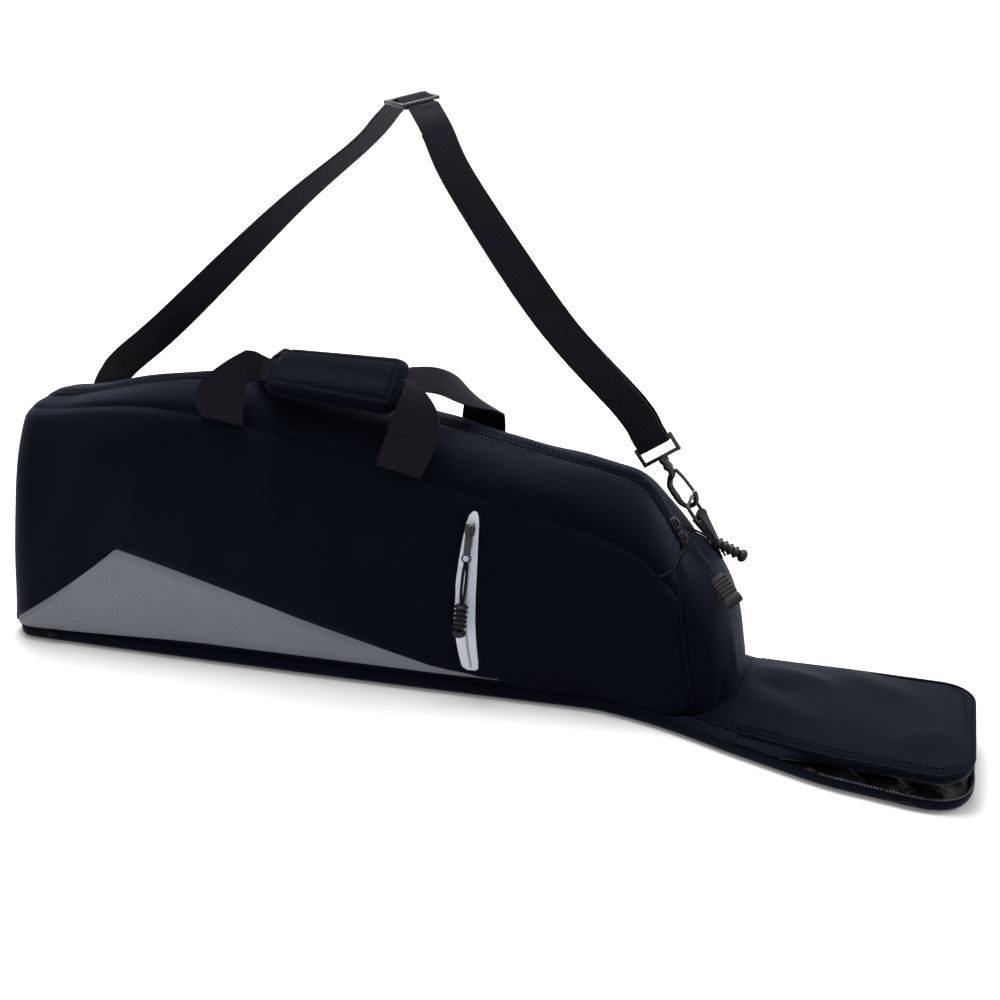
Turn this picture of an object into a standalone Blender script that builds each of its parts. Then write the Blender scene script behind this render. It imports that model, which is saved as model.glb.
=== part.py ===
"""Long sports tote: a loaf-shaped main bag on a flat sleeve that runs past it, with a shoulder strap.

Lengths are in metres and +Z is up. A "station" s is the distance from the bag's left end, t is the
distance across it from the middle line (the front is negative), and the bag's tail drifts to the front.
"""
import math

import bmesh
import bpy
import numpy as np
from mathutils import Matrix, Vector

# Overall sizes
BODY_LEFT = -0.335            # x of the bag's left end, so that the origin is under the middle of the base
BODY_LENGTH = 0.672           # left end to the foot of the right-hand seam
BODY_HALF_WIDTH = 0.076
FOOT_Z = 0.012                # where the panels meet the base tray
CREST_LEFT_Z = 0.245
CREST_PEAK_S = 0.19
CREST_PEAK_Z = 0.2665
CREST_SLOPE = math.radians(10.5)
CREST_ARC_S = BODY_LENGTH - 0.087    # the zip turns down from here
CREST_ARC_Z = 0.205
CREST_ARC_RADIUS = 0.050
CREST_END_ANGLE = math.radians(56)
CREST_TAIL = 0.047            # straight run past the arc
RIGHT_TAPER = 0.008           # the section narrows by this much towards the right end
TAPER_RUN = 0.172             # over this much of its length
REAR_PUFF = 0.013             # the rear shoulder stands out this far near the right end
PUFF_RUN = 0.112              # where it starts before the end, and the length it grows over
PUFF_GROWTH = 0.08
LEFT_EDGE_RADIUS = 0.024
SECTION_POWER = 3.0           # a loaf: 2 is an ellipse, higher is squarer
TAIL_LENGTH = 0.915           # left end to the end of the sleeve
SLEEVE_RUN = TAIL_LENGTH - BODY_LENGTH
DRIFT_START_S = BODY_LENGTH - 0.117
DRIFT_END_S = BODY_LENGTH + 0.003
DRIFT_SLOPE = 0.33

# Cloth, gaps and seams
PANEL = 0.003                 # padded cloth
LINING = 0.0012
GAP = 0.0003                  # between sewn or seated pieces
SEAM_V = [(0.0, 0.440), (0.12, 0.418), (0.27, 0.390), (0.45, 0.360), (0.55, 0.342), (BODY_LENGTH, 0.318)]
WEDGE_V = [(0.0, 0.004), (0.107, 0.168), (0.29, 0.080), (0.42, 0.024), (0.50, 0.004)]
BAND_V = 0.0

# Zips
MAIN_TAPE = 0.030
CHAIN_WIDTH = 0.006
CHAIN_RISE = 0.0016
SLEEVE_COIL = 0.003           # width of the sleeve's zip teeth
MAIN_ZIP_START_S = 0.030
POCKET_ZIP_S = 0.457
POCKET_TAPE = 0.018
POCKET_BOW = 0.007            # the pocket's tape bows this far to the left at mid height
POCKET_CHAIN_TOP_Z = 0.172
POCKET_CHAIN_LOW_Z = 0.034
SLIDER_LENGTH = 0.012
SLIDER_WIDTH = 0.010
SLIDER_HEIGHT = 0.005
SLIDER_SIZES = (SLIDER_LENGTH, SLIDER_WIDTH, SLIDER_HEIGHT)
SLIDER_TOP = 0.7              # share of the slider's foot that its top keeps
UPPER_SLIDER_RUN = 0.0245     # the main sliders' places down the straight end of the zip
LOWER_SLIDER_RUN = 0.0395
POCKET_SLIDER_Z = 0.165
CORD_RADIUS = 0.0014
PULL_GRIP = 0.032
PULL_GRIP_RADIUS = 0.0062
PULL_GRIP_RIBS = 4

# Inside
FLOOR_Z = 0.060               # divider between the main bag and the sleeve under it
BOARD = 0.002

# Sleeve tray and flap
TRAY_WALL_Z = 0.0115
TRAY_ROUND = 0.006
FLAP_ROOT_S = BODY_LENGTH + 0.036
FLAP_ROOT_Z = 0.0175
FLAP_FRONT_Z = 0.029
FLAP_BACK_Z = 0.044
FLAP_CROWN = 0.015
FLAP_RIM = 0.0065
FLAP_CORNER = 0.026
FLAP_HINGE_S = FLAP_ROOT_S - 0.0015
FLAP_HINGE_Z = 0.0345
TRAY_HALF_WIDTH = BODY_HALF_WIDTH + 0.0005
TRAY_FRONT_T = [(0.0, TRAY_HALF_WIDTH), (BODY_LENGTH - 0.092, TRAY_HALF_WIDTH),
                (BODY_LENGTH - 0.040, BODY_HALF_WIDTH + 0.007),
                (BODY_LENGTH + 0.115 * SLEEVE_RUN, 0.093), (BODY_LENGTH + 0.444 * SLEEVE_RUN, 0.100),
                (BODY_LENGTH + 0.774 * SLEEVE_RUN, 0.099), (TAIL_LENGTH, 0.094)]
TRAY_BACK_T = [(0.0, TRAY_HALF_WIDTH), (BODY_LENGTH - 0.032, TRAY_HALF_WIDTH),
               (BODY_LENGTH + 0.156 * SLEEVE_RUN, 0.072),
               (BODY_LENGTH + 0.527 * SLEEVE_RUN, 0.0745), (TAIL_LENGTH, 0.078)]
FLAP_FRONT_T = [(FLAP_ROOT_S - 0.008, 0.078), (BODY_LENGTH + 0.527 * SLEEVE_RUN, 0.086), (TAIL_LENGTH, 0.084)]
FLAP_BACK_T = [(FLAP_ROOT_S - 0.008, 0.062), (BODY_LENGTH + 0.527 * SLEEVE_RUN, 0.070), (TAIL_LENGTH, 0.075)]
TRAY_BEND_STEPS = (0.0, 0.030, 0.055, 0.080, 0.105)      # stations past the start of the drift
TRAY_SLEEVE_SHARES = (0.115, 0.2387, 0.444, 0.7325)      # shares of the sleeve's run

# Carry handles
HANDLE_WEB = 0.044
GATHERED_WEB = 0.014          # the handles are gathered where they go into the grip
WEB = 0.0022                  # thickness of all webbing
GRIP_START_S = 0.258
GRIP_END_S = 0.383
GRIP_T = -0.024
GRIP_Z = 0.2780
GRIP_ACROSS = (0.0, -0.84, -0.54)
GRIP_HALF_WIDTH = 0.031
GRIP_HALF_THICK = 0.0105
FRONT_ARM_S = (0.213, 0.386)
REAR_ARM_S = (0.235, 0.436)

# Shoulder strap
STRAP_WEB = 0.031
RIGHT_HOOK_TIP = (BODY_LEFT + BODY_LENGTH - 0.0305, 0.034, 0.1714)
LEFT_HOOK_TIP = (-0.308, 0.0905, 0.130)
RIGHT_LEG_LEAN = math.radians(-34.0)
LEFT_HOOK_LEAN = 0.0
RING_WIRE = 0.0018
RING_WIDTH = 0.030
RING_HEIGHT = 0.018
HOOK_LENGTH = 0.042
HOOK_WIRE = 0.0024
HOOK_HALF_WIDTH = 0.0085
FRAME_WIDTH = 0.040
FRAME_HEIGHT = 0.012
FRAME_BAR = 0.0035
FRAME_NECK = 0.006
BOW_DROP = 0.0025             # the strap swings on a line this far under the hooks' tips, where they bear

BLACK = (0.012, 0.014, 0.018, 1.0)
GREY = (0.14, 0.155, 0.175, 1.0)
SILVER = (0.52, 0.56, 0.63, 1.0)
SMOKE = (0.04, 0.042, 0.05, 1.0)
STEEL = (0.30, 0.30, 0.34, 1.0)
LINEN = (0.02, 0.02, 0.024, 1.0)


def clear_scene():
    for old in list(bpy.data.objects):
        bpy.data.objects.remove(old, do_unlink=True)


def material(name, colour, roughness, metallic=0.0):
    found = bpy.data.materials.get(name)
    if found:
        return found
    made = bpy.data.materials.new(name)
    made.use_nodes = True
    shader = made.node_tree.nodes["Principled BSDF"]
    shader.inputs["Base Color"].default_value = colour
    shader.inputs["Roughness"].default_value = roughness
    shader.inputs["Metallic"].default_value = metallic
    return made


FABRIC = ("black_fabric", BLACK, 0.85)
GREY_FABRIC = ("grey_fabric", GREY, 0.85)
LINING_CLOTH = ("lining", LINEN, 0.6)
WEBBING = ("webbing", BLACK, 0.75)
TAPE = ("silver_tape", SILVER, 0.55)
DARK_TAPE = ("dark_tape", BLACK, 0.7)
COIL = ("zip_coil", SMOKE, 0.4)
PLASTIC = ("black_plastic", SMOKE, 0.45)
RUBBER = ("rubber", BLACK, 0.7)
METAL = ("black_metal", STEEL, 0.35, 1.0)


def lookup(table, s):
    return float(np.interp(s, [row[0] for row in table], [row[1] for row in table]))


def drift(s):
    """How far the middle line has moved to the front at a station."""
    run = DRIFT_END_S - DRIFT_START_S
    bent = min(max(s - DRIFT_START_S, 0.0), run)
    return -DRIFT_SLOPE * (bent * bent / (2 * run) + max(s - DRIFT_END_S, 0.0))


def place(s, t, z):
    return Vector((BODY_LEFT + s, t + drift(s), z))


def crest(s):
    """Station and height of the crest above the foot station s."""
    arc_end = CREST_ARC_RADIUS * (CREST_END_ANGLE - CREST_SLOPE)
    if s <= CREST_PEAK_S:
        share = s / CREST_PEAK_S
        return s, CREST_LEFT_Z + (CREST_PEAK_Z - CREST_LEFT_Z) * math.sin(share * math.pi / 2)
    if s <= CREST_ARC_S:
        share = (s - CREST_PEAK_S) / (CREST_ARC_S - CREST_PEAK_S)
        run = CREST_ARC_S - CREST_PEAK_S
        fall = CREST_PEAK_Z - CREST_ARC_Z
        steep = math.tan(CREST_SLOPE) * run
        # A cubic that leaves the peak level and joins the arc at its slope
        return s, CREST_PEAK_Z - (3 * fall - steep) * share ** 2 + (2 * fall - steep) * share ** 3
    along = (s - CREST_ARC_S) / (BODY_LENGTH - CREST_ARC_S) * (arc_end + CREST_TAIL)
    angle = CREST_SLOPE + min(along, arc_end) / CREST_ARC_RADIUS
    past = max(along - arc_end, 0.0)
    x = CREST_ARC_S + CREST_ARC_RADIUS * (math.sin(angle) - math.sin(CREST_SLOPE)) + past * math.cos(angle)
    z = CREST_ARC_Z + CREST_ARC_RADIUS * (math.cos(angle) - math.cos(CREST_SLOPE)) - past * math.sin(angle)
    return x, z


def half_width(s):
    share = min(max((s - BODY_LENGTH + TAPER_RUN) / TAPER_RUN, 0.0), 1.0)
    return BODY_HALF_WIDTH - RIGHT_TAPER * share * share


def left_inset(s):
    share = min(max(1 - s / LEFT_EDGE_RADIUS, 0.0), 1.0)
    return LEFT_EDGE_RADIUS * (1 - math.sqrt(1 - share * share))


TURN = np.linspace(0.0, math.pi, 361)


def section(s):
    """The loaf's outline over one station: arrays of arc share, t and z, front foot to rear foot."""
    wide = half_width(s) - left_inset(s)
    high = crest(s)[1] - left_inset(s) - FOOT_Z
    cosine = np.cos(TURN)
    t = -wide * np.sign(cosine) * np.abs(cosine) ** (2 / SECTION_POWER)
    z = FOOT_Z + high * np.abs(np.sin(TURN)) ** (2 / SECTION_POWER)
    steps = np.hypot(np.diff(t), np.diff(z))
    share = np.concatenate([[0.0], np.cumsum(steps)])
    return share / share[-1], t, z, share[-1]


PUFF_OUT = 0.45
PUFF_UP = 0.9


def rear_puff(s, v):
    """How far the rear shoulder stands out near the right end."""
    along = min(max((s - BODY_LENGTH + PUFF_RUN) / PUFF_GROWTH, 0.0), 1.0)
    round_it = min(max((v - 0.535) / 0.36, 0.0), 1.0)
    return REAR_PUFF * along * along * (3 - 2 * along) * math.sin(math.pi * round_it) ** 2


def skin(s, v):
    """A point of the main bag's outer surface."""
    share, t, z, _ = section(s)
    here_t = float(np.interp(v, share, t))
    here_z = float(np.interp(v, share, z))
    crest_s, crest_z = crest(s)
    lean = (crest_s - s) * (here_z - FOOT_Z) / (crest_z - FOOT_Z)
    swell = rear_puff(s, v)
    return place(s + lean + PUFF_OUT * swell, here_t, here_z + PUFF_UP * swell)


def skin_normal(s, v):
    step_s = 0.0015
    step_v = 0.004
    low_s = max(s - step_s, 0.0006)
    along = skin(min(s + step_s, BODY_LENGTH), v) - skin(low_s, v)
    round_it = skin(s, min(v + step_v, 1.0)) - skin(s, max(v - step_v, 0.0))
    return along.cross(round_it).normalized()


def arc_length(s):
    return section(s)[3]


def height_to_v(s, z):
    """The arc share of the front flank at a height."""
    share, _, heights, _ = section(s)
    half = len(heights) // 2
    return float(np.interp(z, heights[:half], share[:half]))


def add_object(name, verts, faces, look, smooth=True, origin=None):
    mesh = bpy.data.meshes.new(name)
    at = Vector(origin) if origin is not None else Vector((0, 0, 0))
    mesh.from_pydata([tuple(Vector(v) - at) for v in verts], [], faces)
    work = bmesh.new()
    work.from_mesh(mesh)
    bmesh.ops.recalc_face_normals(work, faces=work.faces)
    work.to_mesh(mesh)
    work.free()
    made = bpy.data.objects.new(name, mesh)
    made.location = at
    bpy.context.collection.objects.link(made)
    mesh.materials.append(material(*look))
    if smooth:
        mesh.shade_smooth()
        mesh.set_sharp_from_angle(angle=math.radians(40))
    return made


def slab(name, outer, inner, look, origin=None):
    """A closed sheet between two grids of points, outer[i][j] and inner[i][j]."""
    rows = len(outer)
    cols = len(outer[0])
    verts = [p for row in outer for p in row] + [p for row in inner for p in row]
    back = rows * cols

    def at(i, j, layer):
        return layer * back + i * cols + j

    faces = []
    for i in range(rows - 1):
        for j in range(cols - 1):
            faces.append((at(i, j, 0), at(i, j + 1, 0), at(i + 1, j + 1, 0), at(i + 1, j, 0)))
            faces.append((at(i, j, 1), at(i + 1, j, 1), at(i + 1, j + 1, 1), at(i, j + 1, 1)))
    for i in range(rows - 1):
        faces.append((at(i, 0, 0), at(i + 1, 0, 0), at(i + 1, 0, 1), at(i, 0, 1)))
        faces.append((at(i, cols - 1, 0), at(i, cols - 1, 1), at(i + 1, cols - 1, 1), at(i + 1, cols - 1, 0)))
    for j in range(cols - 1):
        faces.append((at(0, j, 0), at(0, j, 1), at(0, j + 1, 1), at(0, j + 1, 0)))
        faces.append((at(rows - 1, j, 0), at(rows - 1, j + 1, 0), at(rows - 1, j + 1, 1), at(rows - 1, j, 1)))
    return add_object(name, verts, faces, look, origin=origin)


def panel(name, stations, low, high, columns, look, lift=0.0, thick=PANEL, edge_s=None):
    """A sewn panel of the main bag between two arc-share lines; edge_s bends its end stations."""
    outer = []
    inner = []
    last = len(stations) - 1
    for i, s in enumerate(stations):
        row_out = []
        row_in = []
        for k, v in enumerate(column_shares(s, low, high, columns)):
            here = s
            if edge_s and i in (0, last):
                here += edge_s(i == last, v)
                v = column_shares(here, low, high, columns)[k]
            if i == 0:
                here += GAP / 2
            if i == last:
                here -= GAP / 2
            point = skin(here, v)
            normal = skin_normal(here, v)
            row_out.append(point + normal * lift)
            row_in.append(point + normal * (lift - thick))
        outer.append(row_out)
        inner.append(row_in)
    return slab(name, outer, inner, look)


CAP_POWER = 2.6


def cap(name, rim, rim_normals, centre, facing, bulge, rings, look):
    """A domed end panel inside a closed rim."""
    facing = Vector(facing)
    count = len(rim)
    layers = [[], []]
    for share in rings:
        for point, normal in zip(rim, rim_normals):
            here = centre.lerp(point, share) + facing * bulge * (1 - share ** CAP_POWER)
            turned = facing.lerp(normal, share ** 6).normalized()
            layers[0].append(here)
            layers[1].append(here - turned * PANEL)
    hub = centre + facing * bulge
    verts = layers[0] + [hub] + layers[1] + [hub - facing * PANEL]
    back = len(layers[0]) + 1
    faces = []
    for k in range(len(rings) - 1):
        for i in range(count):
            j = (i + 1) % count
            a, b, c, d = k * count + i, k * count + j, (k + 1) * count + j, (k + 1) * count + i
            faces.append((a, b, c, d))
            faces.append((back + d, back + c, back + b, back + a))
    last = (len(rings) - 1) * count
    hub_at = len(layers[0])
    for i in range(count):
        j = (i + 1) % count
        faces.append((last + i, last + j, hub_at))
        faces.append((back + last + j, back + last + i, back + hub_at))
        faces.append((j, i, back + i, back + j))
    return add_object(name, verts, faces, look)


def stations_between(start, end, extra=()):
    fillet = [0.002, 0.006, 0.013, LEFT_EDGE_RADIUS]
    main = [0.06, 0.107, 0.16, 0.22, 0.29, 0.355, 0.42, 0.50, 0.55, CREST_ARC_S]
    arc = [CREST_ARC_S + (BODY_LENGTH - CREST_ARC_S) * k / 6 for k in range(1, 7)]
    wanted = sorted(set(fillet + main + arc + list(extra)))
    inside = [s for s in wanted if start + 0.004 < s < end - 0.004]
    return [start] + inside + [end]


def seam_v(s):
    return lookup(SEAM_V, s)


def rear_seam_v(s):
    return 1 - lookup(SEAM_V, s)


def wedge_v(s):
    return lookup(WEDGE_V, s) if s <= WEDGE_V[-1][0] else BAND_V


def foot_v(s):
    return BAND_V


def rear_foot_v(s):
    return 1 - BAND_V


def tape_low_v(s):
    return 0.5 - MAIN_TAPE / 2 / arc_length(s)


def tape_high_v(s):
    return 0.5 + MAIN_TAPE / 2 / arc_length(s)


def pocket_edge(side):
    """The pocket tape's edge: how far a station moves at an arc share, to follow the bow."""
    def moved(v):
        share = min(max(v / seam_v(POCKET_ZIP_S), 0.0), 1.0)
        return -POCKET_BOW * math.sin(math.pi * share) + side * POCKET_TAPE / 2
    return moved


SHELL_START_S = 0.002
FRONT_COLUMNS = 8
WEDGE_COLUMNS = 3
STRIP_COLUMNS = 4
TAPE_COLUMNS = 2
# The panels round a section, front foot to rear foot: lower line, upper line and columns
ROUND_LEFT = [(foot_v, wedge_v, WEDGE_COLUMNS), (wedge_v, seam_v, FRONT_COLUMNS),
              (seam_v, tape_low_v, STRIP_COLUMNS), (tape_low_v, tape_high_v, TAPE_COLUMNS),
              (tape_high_v, rear_seam_v, STRIP_COLUMNS), (rear_seam_v, rear_foot_v, FRONT_COLUMNS)]


def column_shares(s, low, high, columns):
    """Arc shares of a panel's columns, drawn in by half a gap at each seam."""
    gap_v = GAP / 2 / arc_length(s)
    bottom = low(s) + gap_v
    top = high(s) - gap_v
    return [bottom + (top - bottom) * k / columns for k in range(columns + 1)]


def build_body_panels():
    left_edge = pocket_edge(-1)
    right_edge = pocket_edge(1)
    whole = stations_between(SHELL_START_S, BODY_LENGTH)
    before_pocket = stations_between(SHELL_START_S, POCKET_ZIP_S)
    panel("front_panel", before_pocket, wedge_v, seam_v, FRONT_COLUMNS, FABRIC,
          edge_s=lambda last, v: left_edge(v) if last else 0.0)
    panel("pocket_panel", stations_between(POCKET_ZIP_S, BODY_LENGTH), wedge_v, seam_v, FRONT_COLUMNS, FABRIC,
          edge_s=lambda last, v: 0.0 if last else right_edge(v))
    panel("pocket_zip_tape", [POCKET_ZIP_S, POCKET_ZIP_S], wedge_v, seam_v, FRONT_COLUMNS, TAPE,
          edge_s=lambda last, v: right_edge(v) if last else left_edge(v))
    panel("grey_panel", stations_between(SHELL_START_S, WEDGE_V[-1][0]), foot_v, wedge_v, WEDGE_COLUMNS,
          GREY_FABRIC)
    panel("top_front_strip", whole, seam_v, tape_low_v, STRIP_COLUMNS, FABRIC)
    panel("top_rear_strip", whole, tape_high_v, rear_seam_v, STRIP_COLUMNS, FABRIC)
    panel("back_panel", whole, rear_seam_v, rear_foot_v, FRONT_COLUMNS, FABRIC)
    panel("main_zip_tape", whole, tape_low_v, tape_high_v, TAPE_COLUMNS, DARK_TAPE)
    panel("main_zip_chain", stations_between(MAIN_ZIP_START_S, BODY_LENGTH),
          lambda s: 0.5 - CHAIN_WIDTH / 2 / arc_length(s), lambda s: 0.5 + CHAIN_WIDTH / 2 / arc_length(s),
          TAPE_COLUMNS, COIL, lift=GAP + CHAIN_RISE, thick=CHAIN_RISE)
    panel("pocket_lining", stations_between(0.25, 0.60), lambda s: 0.125, lambda s: 0.325, 5, LINING_CLOTH,
          lift=-PANEL - 3 * GAP, thick=LINING)


def tail_foot(share):
    """The right end panel's foot over the sleeve, from the rear (0) to the front (1)."""
    front = half_width(BODY_LENGTH)
    t = front * (1 - 2 * share)
    reach = FLAP_ROOT_S - 2 * GAP - BODY_LENGTH
    round_it = math.sqrt(max(1 - (t / front) ** 2, 0.0))
    rise = (FLAP_CROWN + FLAP_ROOT_Z - FOOT_Z) * round_it
    return place(BODY_LENGTH + reach * round_it, t, FOOT_Z + rise)


RIGHT_CAP_CENTRE = place(BODY_LENGTH + 0.006, 0.0, 0.080)
RIGHT_CAP_FACING = Vector((1.0, 0.0, 0.25)).normalized()
RIGHT_CAP_BULGE = 0.026


def rim_shares(s):
    shares = []
    for low, high, columns in ROUND_LEFT:
        if high(s) - low(s) > GAP:
            shares += column_shares(s, low, high, columns)
    return shares


def build_end_panels():
    foot_steps = 8
    shares = rim_shares(SHELL_START_S)
    centre = place(0.0, 0.0, CREST_LEFT_Z / 2)
    rim = [skin(SHELL_START_S, v) for v in shares]
    normals = [skin_normal(SHELL_START_S + GAP / 2, v) for v in shares]
    rear = rim[-1]
    front = rim[0]
    rim += [rear.lerp(front, k / foot_steps) for k in range(1, foot_steps)]
    normals += [Vector((-1, 0, -0.4)).normalized()] * (foot_steps - 1)
    rim = [point + (centre - point).normalized() * GAP for point in rim]
    cap("left_end_panel", rim, normals, centre, (-1, 0, 0), 0.003, [1.0, 0.8, 0.5, 0.25], FABRIC)

    shares = rim_shares(BODY_LENGTH)
    centre = RIGHT_CAP_CENTRE
    rim = [skin(BODY_LENGTH, v) for v in shares]
    rim = [point + Vector((GAP, 0, 0)) + (centre - point).normalized() * 2 * GAP for point in rim]
    normals = [skin_normal(BODY_LENGTH - GAP / 2, v) for v in shares]
    rim += [tail_foot(k / foot_steps) for k in range(1, foot_steps)]
    normals += [Vector((1, 0, 0.2)).normalized()] * (foot_steps - 1)
    cap("right_end_panel", rim, normals, centre, RIGHT_CAP_FACING, RIGHT_CAP_BULGE, [1.0, 0.85, 0.6, 0.3],
        FABRIC)


def inner_half(s, z):
    """Clear half width inside the panels at a station and height."""
    share, t, heights, _ = section(s)
    half = len(heights) // 2
    return -float(np.interp(z, heights[:half], t[:half])) - PANEL


def flat_plate(name, stations, half, low_z, high_z, look):
    top = [[place(s, -half(s), high_z), place(s, 0, high_z), place(s, half(s), high_z)] for s in stations]
    low = [[place(s, -half(s), low_z), place(s, 0, low_z), place(s, half(s), low_z)] for s in stations]
    return slab(name, low, top, look)


def build_inside():
    stations = [0.028, 0.20, 0.40] + [BODY_LENGTH - back for back in (0.172, 0.112, 0.072, 0.037)]
    flat_plate("compartment_floor", stations, lambda s: inner_half(s, FLOOR_Z) - 2 * GAP,
               FLOOR_Z - BOARD, FLOOR_Z, LINING_CLOTH)
    flat_plate("base_board", [0.03, 0.30, BODY_LENGTH - 0.112, BODY_LENGTH - 0.052], lambda s: BODY_HALF_WIDTH - 0.012,
               PANEL + GAP, PANEL + GAP + BOARD, PLASTIC)


def ring_outline(corners, radius, steps):
    """A closed outline through corners with rounded turns; corners are (s, t) pairs."""
    points = []
    count = len(corners)
    for k in range(count):
        before = Vector(corners[k - 1])
        here = Vector(corners[k])
        after = Vector(corners[(k + 1) % count])
        back = before - here
        on = after - here
        bend_r = min(radius[k], back.length / 2, on.length / 2)
        if bend_r < 1e-6:
            points.append(here)
            continue
        enter = here + back.normalized() * bend_r
        leave = here + on.normalized() * bend_r
        for i in range(steps + 1):
            share = i / steps
            points.append(enter.lerp(here, share).lerp(here.lerp(leave, share), share))
    return points


def stack(name, rings, look, origin=None):
    """A closed body lofted through rings of points, with a flat face at each end."""
    count = len(rings[0])
    verts = [p for ring in rings for p in ring]
    faces = []
    for k in range(len(rings) - 1):
        for i in range(count):
            j = (i + 1) % count
            faces.append((k * count + i, k * count + j, (k + 1) * count + j, (k + 1) * count + i))
    tail = (len(rings) - 1) * count
    faces.append(tuple(range(count))[::-1])
    faces.append(tuple(tail + i for i in range(count)))
    return add_object(name, verts, faces, look, origin=origin)


def inset_outline(points, amount):
    """The outline moved inwards by an amount, for an anticlockwise list of points."""
    moved = []
    count = len(points)
    for k in range(count):
        along = (points[(k + 1) % count] - points[k - 1]).normalized()
        inward = Vector((-along.y, along.x))
        moved.append(points[k] + inward * amount)
    return moved


def tray_outline():
    front = [DRIFT_START_S * 0.22, DRIFT_START_S * 0.61]
    front += [DRIFT_START_S + step for step in TRAY_BEND_STEPS]
    front += [BODY_LENGTH + share * SLEEVE_RUN for share in TRAY_SLEEVE_SHARES]
    back = front[::-1]
    corners = [(0.0, -lookup(TRAY_FRONT_T, 0.0))]
    corners += [(s, -lookup(TRAY_FRONT_T, s)) for s in front]
    corners += [(TAIL_LENGTH, -lookup(TRAY_FRONT_T, TAIL_LENGTH))]
    corners += [(TAIL_LENGTH, lookup(TRAY_BACK_T, TAIL_LENGTH))]
    corners += [(s, lookup(TRAY_BACK_T, s)) for s in back]
    corners += [(0.0, lookup(TRAY_BACK_T, 0.0))]
    radius = [0.018] + [0.0] * len(front) + [0.045, 0.030] + [0.0] * len(back) + [0.018]
    return ring_outline(corners, radius, 4)


def lifted(points, z):
    return [place(p.x, p.y, z) for p in points]


def build_tray():
    outer = tray_outline()
    rings = [lifted(inset_outline(outer, PANEL + TRAY_ROUND), PANEL)]
    rings.append(lifted(inset_outline(outer, PANEL + 0.001), PANEL + 0.004))
    rings.append(lifted(inset_outline(outer, PANEL), TRAY_WALL_Z))
    rings.append(lifted(outer, TRAY_WALL_Z))
    rings.append(lifted(inset_outline(outer, 0.001), 0.005))
    rings.append(lifted(inset_outline(outer, TRAY_ROUND), 0.0))
    return stack("base_tray", rings, FABRIC)


def flap_surface(s, t):
    """Height of the flap's top over a point of the sleeve."""
    along = (s - FLAP_ROOT_S) / (TAIL_LENGTH - FLAP_ROOT_S)
    front = lookup(FLAP_FRONT_T, s)
    back = lookup(FLAP_BACK_T, s)
    across = min(max((t + front) / (front + back), 0.0), 1.0)
    front_z = FLAP_ROOT_Z + (FLAP_FRONT_Z - FLAP_ROOT_Z) * along
    back_z = FLAP_ROOT_Z + (FLAP_BACK_Z - FLAP_ROOT_Z) * along
    crown = FLAP_CROWN * (1 - 0.65 * along) * (4 * across * (1 - across)) ** 0.8
    return front_z + (back_z - front_z) * across + crown


FLAP_END_S = TAIL_LENGTH - 0.004


def flap_stations():
    straight = [FLAP_ROOT_S + (FLAP_END_S - FLAP_CORNER - FLAP_ROOT_S) * k / 5 for k in range(6)]
    turns = [FLAP_END_S - FLAP_CORNER * (1 - math.sin(math.pi / 2 * k / 4)) for k in range(1, 5)]
    return straight + turns


def flap_span(s):
    """The flap's front and rear edges at a station, drawn in round its corners."""
    into = max(s - (FLAP_END_S - FLAP_CORNER), 0.0)
    drawn = FLAP_CORNER - math.sqrt(max(FLAP_CORNER ** 2 - into ** 2, 0.0))
    return -lookup(FLAP_FRONT_T, s) + drawn, lookup(FLAP_BACK_T, s) - drawn


def flap_edge():
    """The flap's free edge as (s, t) points: front, end and back."""
    stations = flap_stations()
    front = [(s, flap_span(s)[0]) for s in stations]
    back = [(s, flap_span(s)[1]) for s in stations[::-1]]
    low, high = front[-1][1], back[0][1]
    end = [(FLAP_END_S, low + (high - low) * k / 4) for k in range(1, 4)]
    return front + end + back


def strip_along(name, edge, top_z, low_z, inset, thick, look, origin=None):
    """A standing strip along an open line of (s, t) points, its outer face inset from the line."""
    points = [Vector(p) for p in edge]
    outer = []
    inner = []
    for k, point in enumerate(points):
        before = points[max(k - 1, 0)]
        after = points[min(k + 1, len(points) - 1)]
        along = (after - before).normalized()
        inward = Vector((-along.y, along.x))
        near = point + inward * inset
        far = point + inward * (inset + thick)
        outer.append([place(near.x, near.y, top_z(point)), place(near.x, near.y, low_z(point))])
        inner.append([place(far.x, far.y, top_z(point)), place(far.x, far.y, low_z(point))])
    return slab(name, outer, inner, look, origin=origin)


def build_flap():
    columns = 8
    outer = []
    inner = []
    for s in flap_stations():
        low, high = flap_span(s)
        row = [low + (high - low) * k / columns for k in range(columns + 1)]
        outer.append([place(s, t, flap_surface(s, t)) for t in row])
        inner.append([place(s, t, flap_surface(s, t) - PANEL) for t in row])
    hinge = place(FLAP_HINGE_S, 0.0, FLAP_HINGE_Z)
    slab("sleeve_flap", outer, inner, FABRIC, origin=hinge)

    edge = flap_edge()

    def under(point):
        return flap_surface(point.x, point.y) - PANEL - GAP

    strip_along("flap_gusset", edge, under, lambda p: under(p) - FLAP_RIM, 0.0005, 0.0018, FABRIC, hinge)
    strip_along("flap_zip_chain", edge, lambda p: under(p) - FLAP_RIM - GAP,
                lambda p: under(p) - FLAP_RIM - GAP - CHAIN_RISE, 0.0, SLEEVE_COIL, COIL, hinge)


def tray_lip_edge():
    """The tray's outline round the sleeve only, front to back."""
    outline = tray_outline()
    return [p for p in outline if p.x > FLAP_ROOT_S + 0.015]


def build_tray_zip():
    edge = tray_lip_edge()
    strip_along("tray_zip_chain", edge, lambda p: TRAY_WALL_Z + GAP + CHAIN_RISE, lambda p: TRAY_WALL_Z + GAP,
                0.0, SLEEVE_COIL, COIL)


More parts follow.
